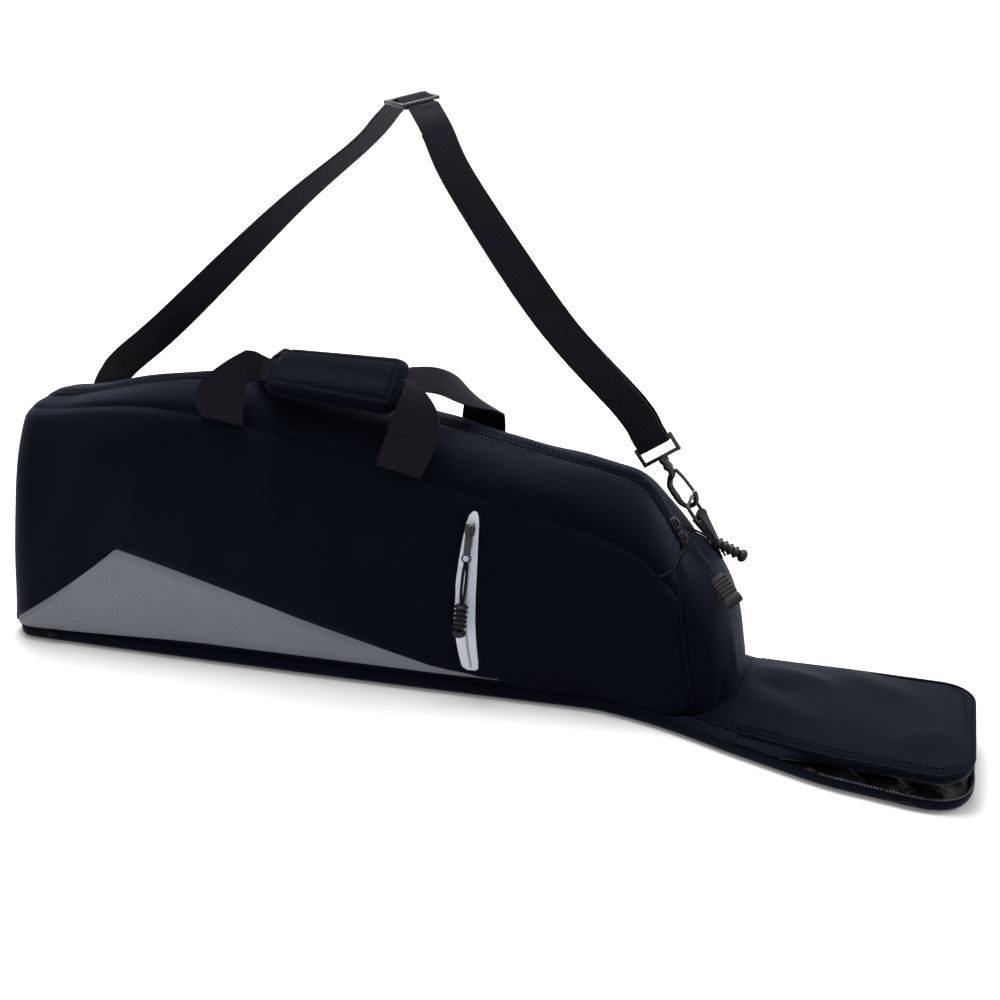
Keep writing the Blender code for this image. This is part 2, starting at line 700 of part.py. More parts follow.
def ribbon(name, points, across, widths, thick, look, origin=None):
    """A flat band along points; across and widths give its direction and size of width at each point."""
    outer = []
    inner = []
    for k, point in enumerate(points):
        before = points[max(k - 1, 0)]
        after = points[min(k + 1, len(points) - 1)]
        along = (Vector(after) - Vector(before)).normalized()
        side = Vector(across[k])
        side = (side - along * side.dot(along)).normalized()
        out = side.cross(along).normalized()
        edge_a = Vector(point) - side * widths[k] / 2
        edge_b = Vector(point) + side * widths[k] / 2
        outer.append([edge_a + out * thick / 2, edge_b + out * thick / 2])
        inner.append([edge_a - out * thick / 2, edge_b - out * thick / 2])
    return slab(name, outer, inner, look, origin=origin)


def smooth_path(knots, steps):
    """Points on a smooth curve through the knots."""
    knots = [Vector(k) for k in knots]
    ends = [2 * knots[0] - knots[1]] + knots + [2 * knots[-1] - knots[-2]]
    points = []
    for k in range(1, len(ends) - 2):
        a, b, c, d = ends[k - 1:k + 3]
        for i in range(steps):
            u = i / steps
            points.append(0.5 * (2 * b + (c - a) * u + (2 * a - 5 * b + 4 * c - d) * u * u
                                 + (3 * b - a - 3 * c + d) * u ** 3))
    points.append(knots[-1])
    return points


def twist_sides(points, start, end, done=1.0):
    """Width directions along a path, turned from the start's to the end's by a share of its length."""
    count = len(points)
    alongs = [(points[min(k + 1, count - 1)] - points[max(k - 1, 0)]).normalized() for k in range(count)]
    side = Vector(start)
    carried = []
    for k in range(count):
        if k:
            side = alongs[k - 1].rotation_difference(alongs[k]) @ side
        side = (side - alongs[k] * side.dot(alongs[k])).normalized()
        carried.append(side.copy())
    last = alongs[-1]
    wanted = Vector(end)
    wanted = (wanted - last * wanted.dot(last)).normalized()
    turn = math.atan2(carried[-1].cross(wanted).dot(last), carried[-1].dot(wanted))
    # A band is the same the other way up, so the shorter of the two turns is taken
    if abs(turn) > math.pi / 2:
        turn -= math.copysign(math.pi, turn)
    gone = np.cumsum([0.0] + [(points[k + 1] - points[k]).length for k in range(count - 1)])
    made = []
    for k in range(count):
        share = min(gone[k] / gone[-1] / done, 1.0)
        made.append(Matrix.Rotation(turn * share * share * (3 - 2 * share), 3, alongs[k]) @ carried[k])
    return made


def tube(points, radius, sides, closed=False, radii=None):
    """Rings of points round a path, with a steady frame."""
    points = [Vector(p) for p in points]
    count = len(points)
    rings = []
    normal = None
    for k in range(count):
        before = points[k - 1] if (closed or k > 0) else points[k]
        after = points[(k + 1) % count] if (closed or k < count - 1) else points[k]
        along = (after - before).normalized()
        if normal is None:
            helper = Vector((0, 1, 0)) if abs(along.y) < 0.9 else Vector((1, 0, 0))
            normal = along.cross(helper).normalized()
        normal = (normal - along * normal.dot(along)).normalized()
        other = along.cross(normal)
        size = radii[k] if radii else radius
        rings.append([points[k] + (normal * math.cos(a) + other * math.sin(a)) * size
                      for a in [2 * math.pi * i / sides for i in range(sides)]])
    return rings


def closed_tube(name, points, radius, sides, look, origin=None):
    rings = tube(points, radius, sides, closed=True)
    count = len(rings)
    verts = [p for ring in rings for p in ring]
    faces = []
    for k in range(count):
        for i in range(sides):
            j = (i + 1) % sides
            n = (k + 1) % count
            faces.append((k * sides + i, k * sides + j, n * sides + j, n * sides + i))
    return add_object(name, verts, faces, look, origin=origin)


def grip_ring(s, half_width, half_thick, count):
    """A rounded flat outline across the grip."""
    across = Vector(GRIP_ACROSS).normalized()
    upright = Vector((1, 0, 0)).cross(across).normalized()
    middle = place(s, GRIP_T, GRIP_Z)
    ring = []
    for i in range(count):
        angle = 2 * math.pi * i / count
        c, d = math.cos(angle), math.sin(angle)
        ring.append(middle + across * half_width * math.copysign(abs(c) ** 0.6, c)
                    + upright * half_thick * math.copysign(abs(d) ** 0.8, d))
    return ring


CORE_HALF_THICK = 0.0028
CORE_HALF_WIDTH = HANDLE_WEB / 2


def hollow_stack(name, outer, inner, look, origin=None):
    """A tube between outer and inner rings, open at both ends."""
    count = len(outer[0])
    rings = len(outer)
    verts = [p for ring in outer for p in ring] + [p for ring in inner for p in ring]
    back = rings * count
    faces = []
    for k in range(rings - 1):
        for i in range(count):
            j = (i + 1) % count
            a, b, c, d = k * count + i, k * count + j, (k + 1) * count + j, (k + 1) * count + i
            faces.append((a, b, c, d))
            faces.append((back + d, back + c, back + b, back + a))
    tail = (rings - 1) * count
    for i in range(count):
        j = (i + 1) % count
        faces.append((j, i, back + i, back + j))
        faces.append((tail + i, tail + j, back + tail + j, back + tail + i))
    return add_object(name, verts, faces, look, origin=origin)


def build_grip():
    count = 20
    ends = 0.004
    stations = [GRIP_START_S, GRIP_START_S + ends, 0.29, 0.32, 0.35, GRIP_END_S - ends, GRIP_END_S]
    outer = []
    inner = []
    for k, s in enumerate(stations):
        drawn = 0.002 if k in (0, len(stations) - 1) else 0.0
        outer.append(grip_ring(s, GRIP_HALF_WIDTH - drawn, GRIP_HALF_THICK - drawn, count))
        inner.append(grip_ring(s, CORE_HALF_WIDTH + 4 * GAP, CORE_HALF_THICK + 2 * GAP, count))
    hollow_stack("grip_wrap", outer, inner, FABRIC)
    core = [grip_ring(s, CORE_HALF_WIDTH, CORE_HALF_THICK, count) for s in (GRIP_START_S, GRIP_END_S)]
    stack("grip_core", core, WEBBING)


def seam_knot(s, rear, clear):
    """A point on the seam line, lifted clear of the panel."""
    v = rear_seam_v(s) - 0.012 if rear else seam_v(s) + 0.012
    return skin(s, v) + skin_normal(s, v) * clear


def build_handles():
    steps = 8
    clear = WEB / 2 + 2 * GAP
    across = Vector(GRIP_ACROSS)
    for name, (rear, s, mouth_s, bends) in ARMS.items():
        way = 1 if mouth_s > GRIP_START_S else -1
        foot = seam_knot(s, rear, clear)
        normal = skin_normal(s, rear_seam_v(s) if rear else seam_v(s))
        edge = across * (CORE_HALF_WIDTH - GATHERED_WEB / 2) * (-1 if rear else 1)
        mouth = place(mouth_s + way * 2 * GAP, GRIP_T, GRIP_Z) + edge
        level = (seam_knot(s + 0.01, rear, clear) - seam_knot(s - 0.01, rear, clear)).normalized()
        uphill = level.cross(normal).normalized()
        uphill *= math.copysign(1.0, uphill.z)
        knots = [foot, foot + uphill * 0.008 + normal * 0.006]
        knots += [spot(*bend) for bend in bends]
        knots += [mouth + Vector((way * MOUTH_LEAD, 0, 0)), mouth]
        path = smooth_path(knots, steps)
        rise = np.linspace(0, 1, len(path))
        widths = np.interp(rise, [0, 0.12, 0.45, 1], [HANDLE_WEB, HANDLE_WEB, GATHERED_WEB, GATHERED_WEB])
        ribbon(name, path, twist_sides(path, level, across, 0.7), list(widths), WEB, WEBBING)


def spot(s, y, z):
    return Vector((BODY_LEFT + s, y, z))


MOUTH_LEAD = 0.009            # straight run of an arm before the grip


# Each arm: on the rear or not, the station of its foot, the grip's end and the points it bends through
ARMS = {
    "front_handle_left": (False, FRONT_ARM_S[0], GRIP_START_S,
                          [(0.2135, -0.0540, 0.265), (0.2170, -0.0470, 0.275), (0.228, -0.0400, 0.2800),
                           (0.239, -0.0365, 0.2760)]),
    "front_handle_right": (False, FRONT_ARM_S[1], GRIP_END_S,
                           [(0.3905, -0.0600, 0.2385), (0.401, -0.0590, 0.252), (0.415, -0.0540, 0.2600),
                            (0.423, -0.0440, 0.2670), (0.412, -0.0375, 0.2700)]),
    "rear_handle_left": (True, REAR_ARM_S[0], GRIP_START_S,
                         [(0.2350, 0.0520, 0.266), (0.2330, 0.0420, 0.281), (0.224, 0.0220, 0.2910),
                          (0.222, 0.0040, 0.2920), (0.231, -0.0080, 0.2890)]),
    "rear_handle_right": (True, REAR_ARM_S[1], GRIP_END_S,
                          [(0.4390, 0.0530, 0.238), (0.438, 0.0420, 0.250), (0.426, 0.0190, 0.2660),
                           (0.409, -0.0030, 0.2810)]),
}


def frame_at(origin, along, side):
    """A matrix whose local Z runs along and whose local X is nearest to side."""
    z = Vector(along).normalized()
    x = Vector(side) - z * Vector(side).dot(z)
    x.normalize()
    y = z.cross(x)
    made = Matrix((x, y, z)).transposed().to_4x4()
    made.translation = Vector(origin)
    return made


def lattice(name, columns, rows, filled, thick, at, look, origin=None):
    """A flat plate with windows: filled[row][column] cells, thick along local Y."""
    verts = []
    for side in (-thick / 2, thick / 2):
        for z in rows:
            for x in columns:
                verts.append(at @ Vector((x, side, z)))
    wide = len(columns)
    layer = wide * len(rows)

    def is_filled(r, c):
        return 0 <= r < len(rows) - 1 and 0 <= c < wide - 1 and filled[r][c]

    faces = []
    for r in range(len(rows) - 1):
        for c in range(wide - 1):
            if not filled[r][c]:
                continue
            a, b = r * wide + c, r * wide + c + 1
            d, e = (r + 1) * wide + c, (r + 1) * wide + c + 1
            faces.append((a, b, e, d))
            faces.append((layer + d, layer + e, layer + b, layer + a))
            sides = [(r - 1, c, b, a), (r + 1, c, d, e), (r, c - 1, a, d), (r, c + 1, e, b)]
            for other_row, other_column, start, end in sides:
                if not is_filled(other_row, other_column):
                    faces.append((start, end, layer + end, layer + start))
    made = add_object(name, verts, faces, look, origin=origin)
    bmesh_clean(made)
    soften = made.modifiers.new("soften", "BEVEL")
    soften.width = thick * 0.2
    soften.segments = 2
    soften.limit_method = "ANGLE"
    return made


def bmesh_clean(made):
    """Drop the points that no face uses and turn every face outwards."""
    work = bmesh.new()
    work.from_mesh(made.data)
    loose = [v for v in work.verts if not v.link_faces]
    bmesh.ops.delete(work, geom=loose, context="VERTS")
    bmesh.ops.recalc_face_normals(work, faces=work.faces)
    work.to_mesh(made.data)
    work.free()


def hook_path(turn):
    """The hook's wire from its stem down round the bow to its nose, in its own frame."""
    wide = HOOK_HALF_WIDTH
    high = HOOK_LENGTH
    low = -RING_WIRE - HOOK_WIRE - GAP - GAP / 3
    outline = [(0, high), (0, high - 0.010), (-wide * 0.55, high - 0.0145), (-wide, high - 0.021),
               (-wide, 0.010), (-wide * 0.92, 0.002), (-wide * 0.55, low * 0.72), (0, low),
               (wide * 0.55, low * 0.72), (wide * 0.92, 0.0015), (wide, 0.0062)]
    return [Matrix.Rotation(turn, 3, "Z") @ Vector((x, 0, z)) for x, z in outline]


def gate_path(turn):
    """The sprung gate from its pivot beside the stem to the nose."""
    inner = HOOK_WIRE + GATE_WIRE + GAP
    outline = [(inner, HOOK_LENGTH - 0.008), (HOOK_HALF_WIDTH * 0.8, HOOK_LENGTH * 0.55),
               (HOOK_HALF_WIDTH, 0.0074)]
    return [Matrix.Rotation(turn, 3, "Z") @ Vector((x, 0, z)) for x, z in outline]


GATE_WIRE = 0.0017


def rounded_loop(wide, high, corner, steps):
    """A rounded rectangle of points about its centre, as (across, up) pairs."""
    corners = [(-wide / 2, -high / 2), (wide / 2, -high / 2), (wide / 2, high / 2), (-wide / 2, high / 2)]
    return ring_outline(corners, [corner] * 4, steps)


def build_hook(side, tip, lean, turn):
    """One strap end: swivel frame, hook, gate and the bag's ring; turn is the bow's angle about the stem."""
    at = frame_at(tip, (math.sin(lean), 0, math.cos(lean)), (1, 0, 0))
    stack(side + "_hook", tube([at @ p for p in hook_path(turn)], HOOK_WIRE, 8), METAL,
          origin=at @ Vector((0, 0, HOOK_LENGTH)))
    gate = [at @ p for p in gate_path(turn)]
    stack(side + "_hook_gate", tube(gate, GATE_WIRE, 8), METAL, origin=gate[0])
    ring_turn = Matrix.Rotation(turn, 3, "Z")
    loop = rounded_loop(RING_WIDTH, RING_HEIGHT, 0.004, 3)
    points = [at @ (ring_turn @ Vector((0, p.x, p.y - RING_HEIGHT / 2))) for p in loop]
    closed_tube(side + "_ring", points, RING_WIRE, 8, METAL, origin=at @ Vector((0, 0, -RING_HEIGHT)))
    low = HOOK_LENGTH + GAP
    neck = low + FRAME_NECK
    edge = FRAME_WIDTH / 2
    columns = [-edge, -edge + FRAME_BAR, -FRAME_BAR, FRAME_BAR, edge - FRAME_BAR, edge]
    rows = [low, neck, neck + FRAME_BAR, neck + FRAME_BAR + FRAME_HEIGHT, neck + 2 * FRAME_BAR + FRAME_HEIGHT]
    full = [1, 1, 1, 1, 1]
    filled = [[0, 0, 1, 0, 0], full, [1, 0, 0, 0, 1], full]
    lattice(side + "_swivel_frame", columns, rows, filled, FRAME_BAR, at, METAL, origin=strap_pivot())
    return at


def strap_pivot():
    """The right end of the line that the strap swings on."""
    stem = Vector((math.sin(RIGHT_LEG_LEAN), 0, math.cos(RIGHT_LEG_LEAN)))
    return Vector(RIGHT_HOOK_TIP) - stem * BOW_DROP


def strap_bar():
    """Height of the swivel frame's upper bar in the hook's frame."""
    return HOOK_LENGTH + GAP + FRAME_NECK + 1.5 * FRAME_BAR + FRAME_HEIGHT


def fold_round(at, axis, centre, radius, start, steps):
    """Points round a bar in a half turn, from the start side to the other."""
    points = []
    for k in range(steps + 1):
        angle = math.pi * k / steps
        points.append(at @ (Vector(centre) + Vector(start) * math.cos(angle) * radius
                            + Vector(axis) * math.sin(angle) * radius))
    return points


FOLD_RADIUS = FRAME_BAR / 2 * 1.45 + GAP + WEB / 2


STRAP_TURNS = 6


def tab_round(name, at, turn, feet, wide):
    """A tab folded round a ring's lower bar, sewn down along the feet: points, normals and directions."""
    bar = at @ Vector((0, 0, -RING_HEIGHT))
    near, out, _ = feet[-1]
    down = (near - bar).normalized()
    radius = RING_WIRE + 2 * GAP + WEB / 2
    side = (at.to_3x3() @ (Matrix.Rotation(turn, 3, "Z") @ Vector((0, 1, 0)))).normalized()
    side *= math.copysign(1.0, side.dot(feet[-1][2]))
    upper = side.cross(down).normalized()
    if upper.dot(out) < 0:
        upper = -upper
    path = [point + normal * (WEB / 2 + TAB_CLEAR) for point, normal, _ in feet]
    for k in range(STRAP_TURNS + 1):
        angle = math.pi * k / STRAP_TURNS
        path.append(bar - upper * math.cos(angle) * radius - down * math.sin(angle) * radius)
    # The upper layer stands off more where the tab meets the panel at a slant
    apart = WEB + 4 * GAP
    lifts = [apart] * (len(feet) - 1) + [apart / max(out.dot(upper), 0.5)]
    path += [point + normal * (WEB / 2 + TAB_CLEAR + lift)
             for (point, normal, _), lift in zip(feet[::-1], lifts[::-1])]
    laid = [foot_side for _, _, foot_side in feet]
    sides = laid + [side] * (STRAP_TURNS + 1) + laid[::-1]
    ribbon(name, path, sides, [wide] * len(path), WEB, WEBBING)


def right_cap_point(v, share):
    """A point of the right end panel, share 1 at its rim and 0 at its middle."""
    rim = skin(BODY_LENGTH, v)
    return RIGHT_CAP_CENTRE.lerp(rim, share) + RIGHT_CAP_FACING * RIGHT_CAP_BULGE * (1 - share ** CAP_POWER)


def right_cap_normal(v, share):
    step = 0.01
    inward = right_cap_point(v, share - step) - right_cap_point(v, share + step)
    round_it = right_cap_point(v + step, share) - right_cap_point(v - step, share)
    made = inward.cross(round_it).normalized()
    return made if made.dot(RIGHT_CAP_FACING) > 0 else -made


ADJUSTER_BAR = 0.003
ADJUSTER_SLOT = 0.009


def build_adjuster():
    at = frame_at(spot(*ADJUSTER_SPOT), ADJUSTER_ALONG, ADJUSTER_ACROSS)
    edge = FRAME_WIDTH / 2
    columns = [-edge, -edge + FRAME_BAR, edge - FRAME_BAR, edge]
    rows = [-1.5 * ADJUSTER_BAR - ADJUSTER_SLOT]
    for size in (ADJUSTER_BAR, ADJUSTER_SLOT, ADJUSTER_BAR, ADJUSTER_SLOT, ADJUSTER_BAR):
        rows.append(rows[-1] + size)
    full = [1, 1, 1]
    sides = [1, 0, 1]
    lattice("strap_adjuster", columns, rows, [full, sides, full, sides, full], ADJUSTER_THICK, at, PLASTIC,
            origin=strap_pivot())
    return at


ADJUSTER_SPOT = (0.3905, -0.006, 0.5330)
ADJUSTER_ALONG = (-0.79, 0.61, 0.0)
ADJUSTER_ACROSS = (0.60, 0.78, 0.10)
ADJUSTER_THICK = 0.003


# The left leg's line from the adjuster down to the other hook
LEFT_LEG = [(0.3605, 0.0194, 0.5150), (0.3300, 0.0360, 0.4850), (0.2520, 0.0400, 0.4200),
            (0.1240, 0.0530, 0.3010), (0.0600, 0.0720, 0.2480), (0.0380, 0.0830, 0.2250)]


def build_strap():
    right = build_hook("right", RIGHT_HOOK_TIP, RIGHT_LEG_LEAN, 0.0)
    left = build_hook("left", LEFT_HOOK_TIP, LEFT_HOOK_LEAN, math.pi / 2)
    adjuster = build_adjuster()
    bar = (0, 0, strap_bar())
    pitch = ADJUSTER_BAR + ADJUSTER_SLOT
    ride = ADJUSTER_THICK / 2 + GAP + WEB / 2

    # Through the adjuster: under its outer bars and over the middle one
    def through(along, height):
        return adjuster @ Vector((0, -height, along))

    slope_in = 0.0018
    slope_out = pitch - 0.0018
    crossing = [(GAP / 2, ride), (slope_in, ride), (slope_out, -ride), (pitch + 0.0018, -ride)]
    wide_x = (adjuster.to_3x3() @ Vector((1, 0, 0))).normalized()

    # The right leg is doubled: down the front, round the frame's bar and up behind
    turn = fold_round(right, (0, 0, -1), bar, FOLD_RADIUS, (0, -1, 0), STRAP_TURNS)
    side = (right.to_3x3() @ Vector((1, 0, 0))).normalized()
    leg_up = (right.to_3x3() @ Vector((0, 0, 1))).normalized()
    crown = spot(0.4190, -0.0270, 0.5120)
    high = spot(0.4440, -0.0290, 0.4640)
    middle = spot(0.5180, -0.0030, 0.3450)
    apart = Vector((-0.003, 0.0054, 0.0))
    threaded = [through(-along, height) for along, height in crossing]
    front_leg = smooth_path([through(-pitch - 0.005, -ride), crown, high, middle,
                             turn[0] + leg_up * 0.040, turn[0] + leg_up * 0.006], 3)
    back_leg = smooth_path([turn[-1] + leg_up * 0.006, turn[-1] + leg_up * 0.040, middle + apart,
                            high + apart, crown + apart * 1.1], 3)
    path = threaded + front_leg + turn + back_leg
    sides = [wide_x] * len(threaded) + twist_sides(front_leg, wide_x, side) + [side] * len(turn)
    sides += twist_sides(back_leg, side, wide_x)
    ribbon("strap_right_leg", path, sides, [STRAP_WEB] * len(path), WEB, WEBBING, origin=strap_pivot())

    # The left leg leaves the adjuster to the rear, twists and goes round the other frame's bar
    turn = fold_round(left, (0, 0, -1), bar, FOLD_RADIUS, (0, -1, 0), STRAP_TURNS)
    threaded = [through(along, height) for along, height in crossing]
    leg = smooth_path([through(pitch + 0.005, -ride)] + [spot(*knot) for knot in LEFT_LEG]
                      + [turn[0] + Vector((0.002, 0, 0.016)), turn[0] + Vector((0, 0, 0.006))], 4)
    level = Vector((1, 0, 0))
    tail = [turn[-1] + Vector((0, 0.0004, 0.006)), turn[-1] + Vector((0.003, 0.001, 0.020))]
    path = threaded + leg + turn + tail
    sides = [wide_x] * len(threaded) + twist_sides(leg, wide_x, level) + [level] * (len(turn) + len(tail))
    ribbon("strap_left_leg", path, sides, [STRAP_WEB] * len(path), WEB, WEBBING, origin=strap_pivot())

    feet = []
    for share in (0.74, 0.84, 0.93):
        across = right_cap_point(RIGHT_TAB_V + 0.02, share) - right_cap_point(RIGHT_TAB_V - 0.02, share)
        feet.append((right_cap_point(RIGHT_TAB_V, share), right_cap_normal(RIGHT_TAB_V, share), across))
    tab_round("right_ring_tab", right, 0.0, feet, TAB_WEB)
    feet = []
    for z in LEFT_TAB_Z:
        v = 1 - height_to_v(LEFT_TAB_S, z)
        feet.append((skin(LEFT_TAB_S, v), skin_normal(LEFT_TAB_S, v), level))
    tab_round("left_ring_tab", left, math.pi / 2, feet, TAB_WEB)


TAB_WEB = 0.022
TAB_CLEAR = 0.0012
LEFT_TAB_S = 0.027
LEFT_TAB_Z = (0.072, 0.084, 0.096)
RIGHT_TAB_V = 0.672


def block(name, at, sizes, top_share, look, origin=None):
    """A small block on a frame: local X and Y sizes, standing up local Z, narrower at its top."""
    wide, deep, high = sizes
    rings = []
    for z, share in ((0.0, 1.0), (high * 0.5, 1.0), (high, top_share)):
        rings.append([at @ Vector((p.x * share, p.y * share, z))
                      for p in rounded_loop(wide, deep, min(wide, deep) * 0.3, 2)])
    return stack(name, rings, look, origin=origin)


def pull_grip_rings(start, along, length):
    """A ribbed grip that ends in a ball."""
    points = []
    radii = []
    ribs = PULL_GRIP_RIBS * 2
    for k in range(ribs + 1):
        points.append(start + along * (length * 0.72 * k / ribs))
        radii.append(PULL_GRIP_RADIUS * (0.95 if k % 2 else 0.66))
    for k in range(1, 5):
        angle = math.pi * k / 5
        points.append(start + along * (length * (0.86 - 0.14 * math.cos(angle))))
        radii.append(PULL_GRIP_RADIUS * max(math.sin(angle), 0.3))
    return tube(points, PULL_GRIP_RADIUS, 10, radii=radii)


def build_pull(name, joint, end):
    """A cord with a rubber grip at its end; the joint is where it hangs."""
    along = (end - joint).normalized()
    knot = end - along * PULL_GRIP
    line = [joint, joint.lerp(knot, 0.5), knot - along * GAP]
    stack(name + "_pull_cord", tube(line, CORD_RADIUS, 8), WEBBING, origin=joint)
    stack(name + "_pull_grip", pull_grip_rings(knot, along, PULL_GRIP), RUBBER, origin=joint)


def zip_tail(run):
    """A point of the main zip's straight end, run down from the end of the bend, and the way down."""
    bend = CREST_ARC_RADIUS * (CREST_END_ANGLE - CREST_SLOPE)
    s = CREST_ARC_S + (BODY_LENGTH - CREST_ARC_S) * (bend + run) / (bend + CREST_TAIL)
    return skin(s, 0.5), skin_normal(s, 0.5)


def build_main_sliders():
    ride = 2 * GAP + CHAIN_RISE
    down = (zip_tail(CREST_TAIL - 0.002)[0] - zip_tail(0.002)[0]).normalized()
    ends = [("upper", UPPER_SLIDER_RUN, UPPER_PULL_END), ("lower", LOWER_SLIDER_RUN, LOWER_PULL_END)]
    for name, run, end in ends:
        foot, normal = zip_tail(run)
        at = frame_at(foot + normal * ride, normal, down)
        block(name + "_slider", at, SLIDER_SIZES, SLIDER_TOP, METAL, origin=at.translation)
        joint = foot + normal * (ride + SLIDER_HEIGHT + GAP + CORD_RADIUS) + down * 0.0035
        build_pull(name, joint, spot(*end))


UPPER_PULL_END = (BODY_LENGTH + 0.0277, 0.005, 0.133)
LOWER_PULL_END = (BODY_LENGTH + 0.0260, -0.058, 0.116)


def pocket_arc():
    """Centre and radius of the circle that the pocket's zip follows, in y and z at one station."""
    points = []
    for z in (POCKET_SLIDER_Z, 0.11, 0.05):
        v = height_to_v(POCKET_CHAIN_S, z)
        points.append(skin(POCKET_CHAIN_S, v) + skin_normal(POCKET_CHAIN_S, v) * (2 * GAP + POCKET_CLEAR))
    a, b, c = [Vector((p.y, p.z)) for p in points]
    turn = 2 * ((b.x - a.x) * (c.y - a.y) - (b.y - a.y) * (c.x - a.x))
    ab = b.length_squared - a.length_squared
    ac = c.length_squared - a.length_squared
    y = (ab * (c.y - a.y) - ac * (b.y - a.y)) / turn
    z = (ac * (b.x - a.x) - ab * (c.x - a.x)) / turn
    centre = Vector((y, z))
    return centre, (a - centre).length


POCKET_CHAIN_S = POCKET_ZIP_S - 0.004
POCKET_CLEAR = 0.0008
POCKET_CHAIN = 0.0048
PULL_TAB = 0.024
PULL_TAB_WIDTH = 0.007
PULL_TAB_THICK = 0.0018
POCKET_CORD = 0.040


def build_pocket_zip():
    centre, radius = pocket_arc()
    x = BODY_LEFT + POCKET_CHAIN_S

    def on_arc(z, lift):
        y = centre.x - math.sqrt(radius * radius - (z - centre.y) ** 2)
        out = (Vector((y, z)) - centre).normalized()
        return Vector((x, y + out.x * lift, z + out.y * lift)), Vector((0, out.x, out.y))

    steps = 12
    climb = (POCKET_CHAIN_TOP_Z - POCKET_CHAIN_LOW_Z) / steps
    heights = [POCKET_CHAIN_LOW_Z + climb * k for k in range(steps + 1)]
    path = [on_arc(z, CHAIN_RISE / 2)[0] for z in heights]
    widths = [POCKET_CHAIN] * len(path)
    ribbon("pocket_zip_chain", path, [(1, 0, 0)] * len(path), widths, CHAIN_RISE, COIL)

    foot, normal = on_arc(POCKET_SLIDER_Z, CHAIN_RISE + GAP)
    far = Vector((x, centre.x, centre.y))
    at = frame_at(foot, normal, (0, 0, 1))
    block("pocket_slider", at, SLIDER_SIZES, SLIDER_TOP, METAL, origin=far)
    down = Vector((-0.10, -0.11, -1)).normalized()
    joint = foot + normal * (SLIDER_HEIGHT + 2 * GAP) + Vector((0, 0, -0.0050))
    tab = frame_at(joint + down * PULL_TAB / 2, normal - down * normal.dot(down), down)
    block("pocket_pull_tab", tab, (PULL_TAB, PULL_TAB_WIDTH, PULL_TAB_THICK), 0.92, METAL, origin=joint)
    start = joint + down * (PULL_TAB + GAP) + normal * PULL_TAB_THICK / 2
    knot = start + down * POCKET_CORD
    line = [start, start.lerp(knot, 0.5), knot]
    stack("pocket_pull_cord", tube(line, CORD_RADIUS, 8), WEBBING, origin=joint)
    stack("pocket_pull_grip", pull_grip_rings(knot + down * GAP, down, PULL_GRIP), RUBBER, origin=joint)


SLEEVE_SLIDER_S = BODY_LENGTH + 0.26 * SLEEVE_RUN


def build_small_pieces():
    t = lookup(TRAY_BACK_T, SLEEVE_SLIDER_S)
    foot = place(SLEEVE_SLIDER_S, t, TRAY_WALL_Z + 2 * GAP + CHAIN_RISE)
    at = frame_at(foot, (0, 0, 1), (1, -DRIFT_SLOPE, 0))
    block("sleeve_slider", at, (SLIDER_LENGTH, 0.006, 0.0042), 0.75, METAL, origin=foot)
    corner = frame_at(place(CORNER_TAB_S, -lookup(TRAY_FRONT_T, 0.0) - GAP, 0.008), (0, -1, 0), (1, 0, 0))
    block("corner_tab", corner, (0.010, 0.007, 0.003), 0.9, WEBBING)


CORNER_TAB_S = 0.030


def main():
    clear_scene()
    build_body_panels()
    build_end_panels()
    build_inside()
    build_tray()
    build_flap()
    build_tray_zip()
    build_grip()
    build_handles()
    build_strap()
    build_main_sliders()
    build_pocket_zip()
    build_small_pieces()


main()
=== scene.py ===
"""Looks of a long sports tote bag: cloth, webbing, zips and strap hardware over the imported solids.

Lengths are in metres and +Z is up. A station s is the distance from the bag's left end, v is the share of the
way round the bag's section from the front foot to the rear foot, and t is the distance across it from the
middle line, with the front negative. The bag's tail drifts to the front.
"""
import math

import bmesh
import bpy
import numpy as np
from mathutils import Matrix, Vector

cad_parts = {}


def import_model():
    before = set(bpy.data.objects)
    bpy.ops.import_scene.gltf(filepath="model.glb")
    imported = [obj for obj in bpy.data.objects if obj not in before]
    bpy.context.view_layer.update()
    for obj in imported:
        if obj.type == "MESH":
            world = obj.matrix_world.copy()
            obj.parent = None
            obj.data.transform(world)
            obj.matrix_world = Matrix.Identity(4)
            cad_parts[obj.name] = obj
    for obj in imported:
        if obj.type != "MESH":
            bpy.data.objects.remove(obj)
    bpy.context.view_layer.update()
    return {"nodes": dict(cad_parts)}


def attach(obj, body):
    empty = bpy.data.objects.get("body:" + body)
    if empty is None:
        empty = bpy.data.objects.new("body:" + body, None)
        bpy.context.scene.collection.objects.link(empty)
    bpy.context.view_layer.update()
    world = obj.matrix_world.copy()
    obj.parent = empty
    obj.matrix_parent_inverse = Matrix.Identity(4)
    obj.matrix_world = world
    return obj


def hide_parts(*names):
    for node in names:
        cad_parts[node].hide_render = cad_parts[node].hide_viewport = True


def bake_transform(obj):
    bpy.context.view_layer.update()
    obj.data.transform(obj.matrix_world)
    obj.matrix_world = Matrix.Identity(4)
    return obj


# Camera, fitted to the photograph
CAMERA_AZIMUTH = math.radians(14.6)
CAMERA_ELEVATION = math.radians(24.0)
CAMERA_DISTANCE = 1.6
CAMERA_TARGET = (0.115, 0.014, 0.12)
CAMERA_LENS = 60.16
CAMERA_SHIFT = (0.015, 0.039)

